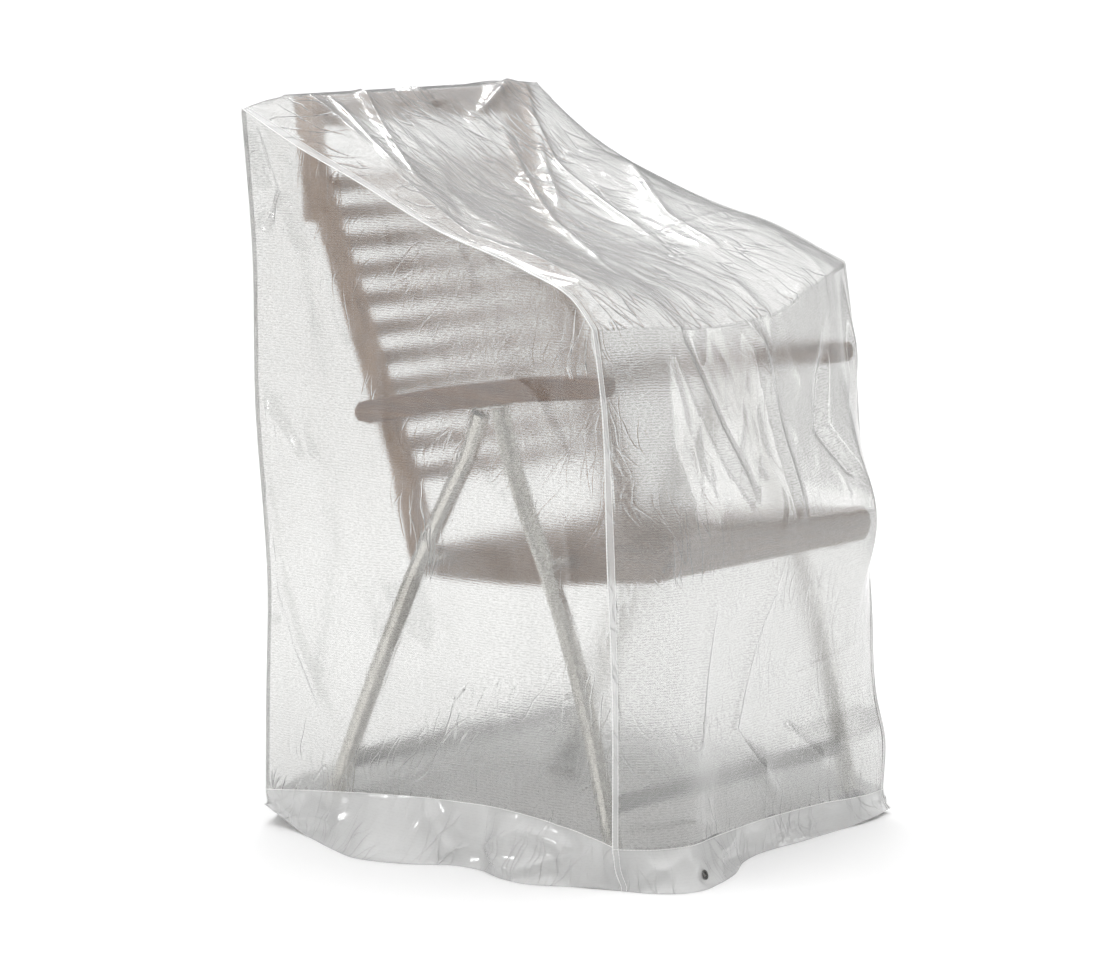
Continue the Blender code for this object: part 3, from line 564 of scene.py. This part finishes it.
def sheet(name, grid, spacing, slack, looks, doubled, hole=None):
    """A thin sheet over a grid of points, with its UV map in metres of film, and how crumpled it is at each point. The
    faces between doubled points take the second look."""
    rows, columns = grid.shape[:2]
    index = np.arange(rows * columns).reshape(rows, columns)
    faces = np.stack([index[:-1, :-1], index[:-1, 1:], index[1:, 1:], index[1:, :-1]], axis=-1).reshape(-1, 4)
    if hole is not None:
        faces = faces[~hole.reshape(-1)[faces].all(axis=1)]
    mesh = bpy.data.meshes.new(name)
    mesh.vertices.add(rows * columns)
    mesh.vertices.foreach_set("co", (grid + MIDDLE).reshape(-1))
    mesh.loops.add(faces.size)
    mesh.loops.foreach_set("vertex_index", faces.reshape(-1))
    mesh.polygons.add(len(faces))
    mesh.polygons.foreach_set("loop_start", np.arange(len(faces)) * 4)
    mesh.polygons.foreach_set("use_smooth", np.ones(len(faces), bool))
    for look in looks:
        mesh.materials.append(look)
    mesh.polygons.foreach_set("material_index", doubled.reshape(-1)[faces].all(axis=1).astype(np.int32))
    mesh.update(calc_edges=True)
    flat = spacing.reshape(-1, 2)[faces.reshape(-1)]
    mesh.uv_layers.new(name="film").data.foreach_set("uv", flat.reshape(-1))
    mesh.attributes.new("slack", "FLOAT", "POINT").data.foreach_set("value", slack.reshape(-1))
    ends = np.zeros(2 * len(mesh.edges), np.int32)
    mesh.edges.foreach_get("vertices", ends)
    row, column = np.divmod(ends.reshape(-1, 2), columns)
    border = np.zeros(len(mesh.edges), bool)
    for place, last in ((row, rows - 1), (column, columns - 1)):
        border |= ((place == 0).all(axis=1)) | ((place == last).all(axis=1))
    mesh.attributes.new("sharp_edge", "BOOLEAN", "EDGE").data.foreach_set("value", border)
    piece = bpy.data.objects.new(name, mesh)
    bpy.context.collection.objects.link(piece)
    solid = piece.modifiers.new("thickness", "SOLIDIFY")
    solid.thickness = FILM_THICK
    solid.offset = -1.0
    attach(piece, "root")
    return piece


# How finely a panel is laid out, and its listed folds: (height, width, kind, path).
STEP = 0.0044
side_across = even(0.66, STEP)
side_rows = even(0.98, STEP)
HEM_ROWS = 22

LEFT_CREASES = (  # over y and z
    (-0.010, 0.014, "soft", (0.420, 1.034), (0.373, 0.922), (0.389, 0.865)),
    (0.007, 0.012, "soft", (0.401, 0.548), (0.351, 0.349), (0.322, 0.280), (0.236, 0.145)),
    (0.006, 0.012, "sharp", (0.392, 0.621), (0.300, 0.528)),
    (-0.006, 0.010, "soft", (0.392, 0.380), (0.368, 0.300)),
    (0.004, 0.008, "sharp", (-0.150, 0.640), (-0.200, 0.300)),
    (0.009, 0.008, "sharp", (-0.034, 0.032), (-0.107, 0.064), (-0.204, 0.050)),
    (0.009, 0.008, "sharp", (-0.034, 0.032), (-0.107, 0.008), (-0.204, 0.050)),
    (0.008, 0.008, "sharp", (0.010, 0.008), (0.045, 0.040), (0.080, 0.084)),
)
RIGHT_CREASES = (
    (0.009, 0.022, "soft", (0.400, 0.900), (0.300, 0.620)),
    (-0.007, 0.026, "soft", (0.180, 0.800), (0.060, 0.420)),
    (0.008, 0.022, "soft", (-0.060, 0.700), (-0.140, 0.380)),
    (0.009, 0.024, "soft", (0.250, 0.380), (0.180, 0.150)),
)
# Where the panels are crumpled most: (y, z).
SPARKLES = ((0.011, 0.231), (0.102, 0.433), (-0.230, 0.261), (-0.200, 0.700))


def side_panel(sign):
    """A side panel's grid and slack: rows from the hem to the sloping top, columns from back to front."""
    back, front, slope, crease, edge, table, seed = (
        (BACK_LEFT, FRONT_LEFT, LEFT_SLOPE, LEFT_FOLD, LEFT_HEM, LEFT_CREASES, 3) if sign < 0 else
        (BACK_RIGHT, FRONT_RIGHT, RIGHT_SLOPE, RIGHT_FOLD, RIGHT_HEM, RIGHT_CREASES, 5)
    )
    x = sign * SEAM
    top = through([(x, y, z) for y, z in slope], side_across)
    low = skirt(edge, crease, side_across, HEM_ROWS, seed, 1.25)
    wall = patch(
        through(crease, side_across), top, post(back, x, side_rows), post(front, x, side_rows), side_across, side_rows
    )
    y, z = wall[:, :, 1], wall[:, :, 2]
    inner = 0.0180 * hump(y, 0.120, 0.070) * hump(z, 0.410, 0.090)
    inner += 0.0120 * hump(y, -0.190, 0.060) * hump(z, 0.240, 0.100)
    inner += 0.0040 * np.sin(9.0 * y + 4.0) * hump(z, 0.55, 0.30)
    wall[:, :, 0] -= sign * inner * margins(*wall.shape[:2], 16, 24)
    grid = softened(np.concatenate([low, wall]), len(low), 2)
    place = metres(grid)
    fold = grid[len(low)]
    place[:, :, 0] = 0.43 - grid[:, :, 1]
    in_hem = np.arange(len(grid))[:, None] < len(low)
    place[:, :, 1] = np.where(in_hem, place[:, :, 1] - place[len(low), 0, 1] + fold[:, 2], grid[:, :, 2])
    lift = creases(grid[:, :, 1:], table)
    lift += 0.0055 * (bowls(place + 0.02 * drift(place, 0.2, seed)[..., None], (0.055, 0.160), 0.25, seed) - 0.3)
    lift += 0.0018 * (bowls(place, (0.024, 0.060), -0.3, seed + 1) - 0.3) * (0.6 + 0.6 * drift(place, 0.25, seed))
    outward = normals(grid) * (1 if sign < 0 else -1)
    grid = grid + (lift * margins(*grid.shape[:2], 6, 6))[:, :, None] * outward
    grid[:, :, 2] = np.maximum(grid[:, :, 2], OFF_FLOOR)
    y, z = grid[:, :, 1], grid[:, :, 2]
    slack = 0.14 + 1.10 * hump(z, 0.0, 0.07)
    for at, up in SPARKLES:
        slack += 0.55 * hump(y, at, 0.03) * hump(z, up, 0.045)
    return grid, place, slack


left_grid, left_place, left_slack = side_panel(-1)
right_grid, right_place, right_slack = side_panel(1)
side_hem = np.broadcast_to(np.arange(len(left_grid))[:, None] < HEM_ROWS, left_grid.shape[:2])
left_film = sheet("left_panel_film", left_grid, left_place, left_slack, (side_film, doubled_film), side_hem)
right_film = sheet(
    "right_panel_film", right_grid[:, ::-1], right_place[:, ::-1], right_slack[:, ::-1], (film, doubled_film), side_hem,
)
for piece, node in ((left_film, "left_panel"), (right_film, "right_panel")):
    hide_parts(node)

# The wrap strip: one length of film, up the back, over the top, down the slope and down the front. It is carried on
# the stile tops, falls in a slack slope to the arms, turns down in front of the seat and ends in a hem on the floor.
RESTS_AT = 1.0530
WRAP_STEP = 0.0036
# The edges where the strip turns, from left to right: (across x, depth y, height z).
BACK_EDGE = (
    (-0.310, 0.428, 1.036), (-0.245, 0.413, 1.050), (-0.100, 0.412, 1.046), (0.100, 0.412, 1.050),
    (0.245, 0.413, 1.055), (0.310, 0.430, 1.040),
)
FRONT_EDGE = (
    (-0.310, -0.215, 0.764), (-0.240, -0.238, 0.763), (-0.120, -0.243, 0.753), (0.000, -0.243, 0.753),
    (0.080, -0.238, 0.759), (0.170, -0.226, 0.786), (0.245, -0.212, 0.804), (0.310, -0.185, 0.809),
)
# The folds above the hem at the front and the back, and the hem's edge below each.
FRONT_FOLD = (
    (-0.310, -0.252, 0.060), (-0.272, -0.290, 0.058), (-0.225, -0.306, 0.056), (-0.120, -0.288, 0.052),
    (0.000, -0.272, 0.050), (0.150, -0.270, 0.048), (0.262, -0.272, 0.042), (0.310, -0.262, 0.040),
)
BACK_FOLD = (
    (-0.310, 0.392, 0.051), (-0.160, 0.405, 0.066), (0.000, 0.398, 0.058), (0.170, 0.408, 0.064), (0.310, 0.400, 0.050),
)
FRONT_HEM = (
    (-0.306, -0.264, 0.000), (-0.290, -0.310, 0.000), (-0.263, -0.340, 0.000), (-0.239, -0.348, 0.000),
    (-0.185, -0.341, 0.000), (-0.130, -0.324, 0.000), (-0.060, -0.288, 0.000), (-0.020, -0.277, 0.000),
    (0.095, -0.276, 0.000), (0.200, -0.274, 0.000), (0.262, -0.276, 0.004), (0.330, -0.262, 0.006),
)
BACK_HEM = (
    (-0.312, 0.394, 0.030), (-0.250, 0.424, 0.000), (-0.100, 0.446, 0.000), (0.000, 0.432, 0.000),
    (0.150, 0.448, 0.000), (0.270, 0.428, 0.000), (0.320, 0.408, 0.000),
)
# How finely each part of the strip is laid out.
wrap_across = even(0.64, WRAP_STEP)
wall_rows = even(0.99, 0.0062)
slope_rows = even(0.72, WRAP_STEP)
front_rows = even(0.71, WRAP_STEP)

FRONT_CREASES = (  # over x and z
    (0.009, 0.010, "soft", (-0.160, 0.758), (-0.160, 0.734), (-0.098, 0.611), (-0.040, 0.507)),
    (0.006, 0.010, "soft", (-0.015, 0.759), (0.027, 0.718), (0.057, 0.553), (0.065, 0.467)),
    (0.006, 0.010, "sharp", (-0.130, 0.393), (-0.185, 0.163)),
    (0.007, 0.010, "sharp", (0.019, 0.416), (-0.049, 0.255), (-0.076, 0.188), (0.047, 0.068)),
    (0.005, 0.006, "sharp", (0.057, 0.175), (0.155, 0.101)),
    (0.002, 0.004, "sharp", (0.068, 0.238), (0.263, 0.268)),
    (-0.010, 0.012, "soft", (0.194, 0.696), (0.154, 0.586), (0.209, 0.522), (0.225, 0.470)),
    (0.003, 0.005, "sharp", (-0.310, 0.077), (-0.229, 0.084), (-0.116, 0.065)),
)
SLOPE_CREASES = (  # over x and y
    (0.007, 0.010, "sharp", (-0.245, 0.400), (-0.263, 0.205), (-0.286, 0.020), (-0.254, -0.167)),
    (0.004, 0.007, "sharp", (-0.209, 0.349), (-0.256, 0.175)),
    (0.005, 0.008, "sharp", (-0.045, 0.380), (0.063, 0.260)),
    (0.008, 0.010, "sharp", (0.250, 0.380), (0.045, 0.293)),
    (0.006, 0.010, "sharp", (0.240, 0.370), (-0.011, 0.086)),
    (-0.007, 0.012, "soft", (-0.013, 0.330), (0.035, 0.294)),
    (0.006, 0.008, "sharp", (0.180, 0.330), (0.110, 0.180), (0.060, -0.040)),
    (0.005, 0.008, "sharp", (0.100, 0.300), (-0.060, 0.060), (-0.150, -0.120)),
    (0.005, 0.008, "sharp", (0.270, 0.200), (0.150, 0.020), (0.120, -0.120)),
    (0.005, 0.008, "sharp", (-0.108, 0.402), (-0.248, 0.144)),
    (0.002, 0.004, "sharp", (0.282, -0.012), (-0.037, -0.017)),
    (0.004, 0.008, "sharp", (0.210, -0.196), (0.074, -0.252)),
)
BACK_CREASES = (  # over x and z
    (0.009, 0.024, "soft", (-0.240, 0.980), (-0.140, 0.620)),
    (0.011, 0.026, "soft", (-0.120, 0.520), (-0.170, 0.140)),
    (0.009, 0.024, "soft", (0.230, 0.980), (0.120, 0.560)),
    (-0.010, 0.026, "soft", (0.060, 0.460), (0.110, 0.130)),
)


def front_wall():
    """The strip's front: rows from the fold above the hem up to the top fold, columns from left to right."""
    grid = patch(
        through(FRONT_FOLD, wrap_across), through(FRONT_EDGE, wrap_across), post(FRONT_LEFT, -SEAM, front_rows),
        post(FRONT_RIGHT, SEAM, front_rows), wrap_across, front_rows,
    )
    x, z = grid[:, :, 0], grid[:, :, 2]
    over_seat = np.clip((SEAM - np.abs(x)) / (SEAM - 0.238), 0, 1)
    grid[:, :, 1] += np.minimum(-0.2975 - grid[:, :, 1], 0) * over_seat * hump(z, 0.447, 0.110)
    grid[:, :, 1] -= 0.0130 * hump(x, 0.287, 0.016) * hump(z, 0.685, 0.060)
    return grid


def slope_wall():
    """The strip's top: rows from the back edge to the front fold. Under it a tent stands on the stile tops, with a
    sag between them, and the film lies on whichever is higher."""
    left = through([(-SEAM, y, z) for y, z in LEFT_SLOPE], slope_rows)
    right = through([(SEAM, y, z) for y, z in RIGHT_SLOPE], slope_rows)
    far, near = through(BACK_EDGE, wrap_across), through(FRONT_EDGE, wrap_across)
    grid = patch(far, near, left, right, wrap_across, slope_rows)
    x, y, z = grid[:, :, 0], grid[:, :, 1], grid[:, :, 2]
    fall = 0.66 + 0.10 * np.clip(x / 0.24, -1, 1)
    tent = RESTS_AT - fall * np.maximum(0.350 - y, 0) - 0.300 * np.maximum(y - 0.396, 0)
    sag = np.sin(np.pi * np.clip((0.338 - y) / 0.57, 0, 1)) * np.clip(1 - (x / 0.24) ** 2, 0, 1)
    carried = np.clip((SEAM - np.abs(x)) / (SEAM - 0.253), 0, 1)
    grid[1:-1, :, 2] += (np.maximum(tent - 0.012 * sag - z, 0) * carried)[1:-1]
    return grid


back = patch(
    through(BACK_FOLD, wrap_across), through(BACK_EDGE, wrap_across), post(BACK_LEFT, -SEAM, wall_rows),
    post(BACK_RIGHT, SEAM, wall_rows), wrap_across, wall_rows,
)
slope, front = slope_wall(), front_wall()
back_low = skirt(BACK_HEM, BACK_FOLD, wrap_across, 14, 7, 1.5)
front_low = skirt(FRONT_HEM, FRONT_FOLD, wrap_across, HEM_ROWS, 8, 1.25)
strip = np.concatenate([back_low, back, slope[1:], front[::-1][1:], front_low[::-1]])
top_row = len(back_low) + len(back) - 1
fold_row = top_row + len(slope) - 1
hem_row = fold_row + len(front) - 1
for turn_row in (len(back_low), top_row, fold_row, hem_row):
    strip = softened(strip, turn_row, 2)
place = metres(strip)
x, y, z = strip[:, :, 0], strip[:, :, 1], strip[:, :, 2]
on_top = np.zeros(strip.shape[:2])
on_top[top_row:fold_row + 1] = 1.0
lift = np.zeros(strip.shape[:2])
lift[:top_row] += creases(strip[:top_row][:, :, [0, 2]], BACK_CREASES)
lift[top_row:fold_row] += creases(strip[top_row:fold_row][:, :, :2], SLOPE_CREASES)
lift[fold_row:] += creases(strip[fold_row:][:, :, [0, 2]], FRONT_CREASES)
swayed = place + 0.015 * drift(place, 0.12, 4)[..., None]
below = on_top * np.clip((0.372 - y) / 0.05, 0, 1)
patches = 0.5 + 0.5 * drift(place, 0.30, 15)
at_back = (1 - on_top) * (y > 0)
lift += (0.0018 + 0.0024 * below + 0.0040 * at_back) * (bowls(swayed, (0.060, 0.230), 0.30, 11) - 0.3)
lift += (0.0006 + 0.0016 * below * patches) * (bowls(swayed, (0.030, 0.130), -0.35, 12) - 0.3)
lift += 0.0026 * below * (1 - patches) * (bowls(swayed, (0.050, 0.150), 0.95, 13) - 0.3)
for corner in (-0.245, 0.245):
    reach = np.hypot(x - corner, y - 0.385)
    fan = np.stack([np.arctan2(x - corner, 0.50 - y) * 0.35, reach], axis=-1)
    lift += below * 0.0240 * reach * np.exp(-reach / 0.15) * (bowls(fan, (0.040, 0.26), 0.0, 21) - 0.3)
    lift *= 1 - 0.9 * np.exp(-((reach / 0.035) ** 2))
held = (np.abs(y - 0.370) < 0.045) & (np.abs(x) < 0.262) & (z > 1.0)
held |= (np.abs(x) < 0.255) & (np.abs(z - 0.45) < 0.09) & (y < -0.28)
lift = np.where(held, np.maximum(lift, 0), lift) * margins(*strip.shape[:2], 8, 6)
strip = strip - lift[:, :, None] * normals(strip)
over_stiles = on_top * (np.abs(strip[:, :, 1] - 0.374) < 0.027) * (np.abs(strip[:, :, 0]) < 0.254)
strip[:, :, 2] = np.maximum(strip[:, :, 2], np.where(over_stiles > 0, RESTS_AT + 0.0005, OFF_FLOOR))
slack = 0.12 + 0.55 * on_top * (0.5 + 0.5 * np.exp(-np.maximum(0.4 - y, 0) / 0.35))
at_seat, at_floor = 0.7 * hump(z, 0.46, 0.035) * hump(x, -0.20, 0.09), 0.35 * hump(z, 0, 0.06)
slack = slack + (1 - on_top) * (y < 0) * (at_seat + at_floor)

# The metal eyelet stands in the hem. The film lies flat against it and has a round hole under its flange.
CLOTH_HOLE = 0.0057
ring_points = np.zeros(3 * len(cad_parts["eyelet"].data.vertices))
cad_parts["eyelet"].data.vertices.foreach_get("co", ring_points)
ring_points = ring_points.reshape(-1, 3) - MIDDLE
eye = (ring_points.min(axis=0) + ring_points.max(axis=0)) / 2
axis = np.linalg.svd(ring_points - ring_points.mean(axis=0), full_matrices=False)[2][2]
off = strip - eye
depth = off @ axis
flat_off = off - depth[..., None] * axis
reach = np.linalg.norm(flat_off, axis=2)
near = (np.linalg.norm(off, axis=2) < 0.060) & (np.arange(len(strip))[:, None] > fold_row)
off_floor = np.clip(strip[:, :, 2] / 0.012, 0, 1)
flatten = np.where(near, np.clip((0.026 - reach) / 0.012, 0, 1), 0.0) * off_floor
strip = strip - (flatten * depth)[..., None] * axis
inside = near & (reach < CLOTH_HOLE)
snapped = eye + flat_off / np.maximum(reach, 1e-6)[..., None] * CLOTH_HOLE
strip = np.where(inside[..., None], snapped, strip)

# The strip lies double along its seams and at its hems, and is cut in three pieces that share their edges.
columns = np.arange(strip.shape[1])
SEAM_COLUMNS = 3
at_seam = np.minimum(columns, columns[::-1]) < SEAM_COLUMNS
at_hem = (np.arange(len(strip)) > hem_row) | (np.arange(len(strip)) < len(back_low))
doubled = at_seam[None, :] | at_hem[:, None]
slack = np.where(doubled, np.maximum(slack, 1.2), slack)

for name, first, last in (("back", 0, top_row), ("slope", top_row, fold_row), ("front", fold_row, len(strip) - 1)):
    rows = slice(first, last + 1)
    turned = [part[rows][:, ::-1] for part in (strip, place, slack, doubled, inside)]
    looks = ({"back": film, "slope": slope_film_painted_light, "front": front_film_painted_shade}[name], doubled_film)
    sheet(f"wrap_{name}_film", *turned[:3], looks, *turned[3:])
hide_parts("wrap_strip")
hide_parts("front_hem")

# The seams and hems. The panels' allowances lie inside the strip's long edges and the hems are turned up once, so the
# film lies double there, and a row of stitches raises a bright line along each seam and along the side and front hems.
thread, nodes, link, shader = material("sewing_thread", 0.35)
shader.inputs["Coat Weight"].default_value = 0.6
ply = nodes.new("ShaderNodeTexNoise")
ply.inputs["Scale"].default_value = 900.0
spot = nodes.new("ShaderNodeTexCoord")
link(spot.outputs["Object"], ply.inputs["Vector"])
white = blend_colours(nodes, link, ply.outputs["Fac"], (0.86, 0.86, 0.85), (0.97, 0.97, 0.96))
link(white, shader.inputs["Base Color"])


def stitches(name, path, radius, pitch):
    """A row of stitches: a thin tube along a path, whose radius swells and thins once for each stitch."""
    path = np.asarray(path)
    steps = np.linalg.norm(np.diff(path, axis=0), axis=1)
    run = np.concatenate([[0.0], np.cumsum(steps)])
    at = np.linspace(0, run[-1], round(run[-1] / (pitch / 4)) + 1)
    centre = np.column_stack([np.interp(at, run, path[:, n]) for n in range(3)])
    along = unit(np.gradient(centre, axis=0))
    side = unit(np.cross(along, (0.31, 0.52, 0.79)))
    other = np.cross(along, side)
    swell = radius * (0.55 + 0.45 * np.abs(np.sin(np.pi * at / pitch)))
    turn = np.linspace(0, 2 * np.pi, 7)[:-1]
    cosine, sine = np.cos(turn)[None, :, None], np.sin(turn)[None, :, None]
    ring = swell[:, None, None] * (cosine * side[:, None] + sine * other[:, None])
    points = (centre[:, None] + ring + MIDDLE).reshape(-1, 3)
    index = np.arange(len(points)).reshape(len(at), 6)
    round_next = np.roll(index, -1, axis=1)
    faces = np.stack([index[:-1], round_next[:-1], round_next[1:], index[1:]], axis=-1).reshape(-1, 4)
    mesh = bpy.data.meshes.new(name)
    mesh.from_pydata(points.tolist(), [], [*faces.tolist(), index[0][::-1].tolist(), index[-1].tolist()])
    mesh.polygons.foreach_set("use_smooth", np.ones(len(mesh.polygons), bool))
    piece = bpy.data.objects.new(name, mesh)
    bpy.context.collection.objects.link(piece)
    mesh.materials.append(thread)
    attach(piece, "root")


STITCH = 0.0045
outward = -normals(strip)
for side, edge, inner in (("left", 0, 2), ("right", -1, -3)):
    stitches(f"{side}_seam_stitches", strip[:, edge] + 0.0003 * outward[:, edge], 0.0009, STITCH)
    stitches(f"{side}_inner_stitches", strip[:, inner] + 0.0003 * outward[:, edge], 0.0005, STITCH)
for side, line, way in (
    ("left", left_grid[HEM_ROWS - 1], -normals(left_grid)[HEM_ROWS - 1]),
    ("right", right_grid[HEM_ROWS - 1], normals(right_grid)[HEM_ROWS - 1]),
    ("front", strip[hem_row + 1], -outward[hem_row + 1]),
):
    stitches(f"{side}_hem_stitches", line - 0.0004 * way, 0.0007, STITCH)

# The floor is one wide pale plane, under plain soft light from all round. Four small lamps make the film's creases
# glint.
floor_mesh = bpy.data.meshes.new("floor")
REACH = 60.0
corners = [(-REACH, -REACH, 0), (REACH, -REACH, 0), (REACH, REACH, 0), (-REACH, REACH, 0)]
floor_mesh.from_pydata(corners, [], [(0, 1, 2, 3)])
floor = bpy.data.objects.new("floor", floor_mesh)
bpy.context.collection.objects.link(floor)
floor_look, nodes, link, shader = material("pale_floor", 0.9)
shader.inputs["Base Color"].default_value = (0.96, 0.96, 0.96, 1.0)
floor_mesh.materials.append(floor_look)

world = bpy.data.worlds.new("soft_light")
bpy.context.scene.world = world
world.use_nodes = True
sky = world.node_tree.nodes
link = world.node_tree.links.new
way = sky.new("ShaderNodeTexCoord")
parts = sky.new("ShaderNodeSeparateXYZ")
link(way.outputs["Generated"], parts.inputs[0])
height = maths(sky, link, "MAXIMUM", parts.outputs["Z"], 0.0)
glow = maths(sky, link, "MULTIPLY_ADD", maths(sky, link, "MULTIPLY", height, height), 1.95)
glow.node.inputs[2].default_value = 0.28
sky["Background"].inputs["Color"].default_value = (1.0, 1.0, 1.0, 1.0)
link(glow, sky["Background"].inputs["Strength"])


def lamp(name, place, aim, width, height, power):
    """A rectangular lamp that faces a point."""
    light = bpy.data.lights.new(name, "AREA")
    light.shape = "RECTANGLE"
    light.size = width
    light.size_y = height
    light.energy = power
    made = bpy.data.objects.new(name, light)
    bpy.context.collection.objects.link(made)
    made.location = place
    made.rotation_euler = (Vector(place) - Vector(aim)).to_track_quat("Z", "Y").to_euler()


lamp("left_lamp", MIDDLE + (-3.0, 2.3, 1.6), MIDDLE + (0, 0, 0.5), 0.4, 0.5, 12)
lamp("right_lamp", MIDDLE + (3.0, -2.3, 1.2), MIDDLE + (0, 0, 0.5), 0.4, 1.2, 4)
lamp("top_lamp", MIDDLE + (1.9, 1.3, 3.3), MIDDLE + (0, 0, 0.8), 0.5, 0.5, 7)
lamp("crease_lamp", MIDDLE + (1.8, 2.1, 2.7), MIDDLE + (0, 0, 0.9), 0.3, 1.5, 7)
bpy.context.scene.view_settings.view_transform = "Standard"
# Light is followed through both walls of the cover and back.
bounces = bpy.context.scene.cycles
bounces.max_bounces = 8
bounces.diffuse_bounces = 2
bounces.glossy_bounces = 3
bounces.transmission_bounces = 7
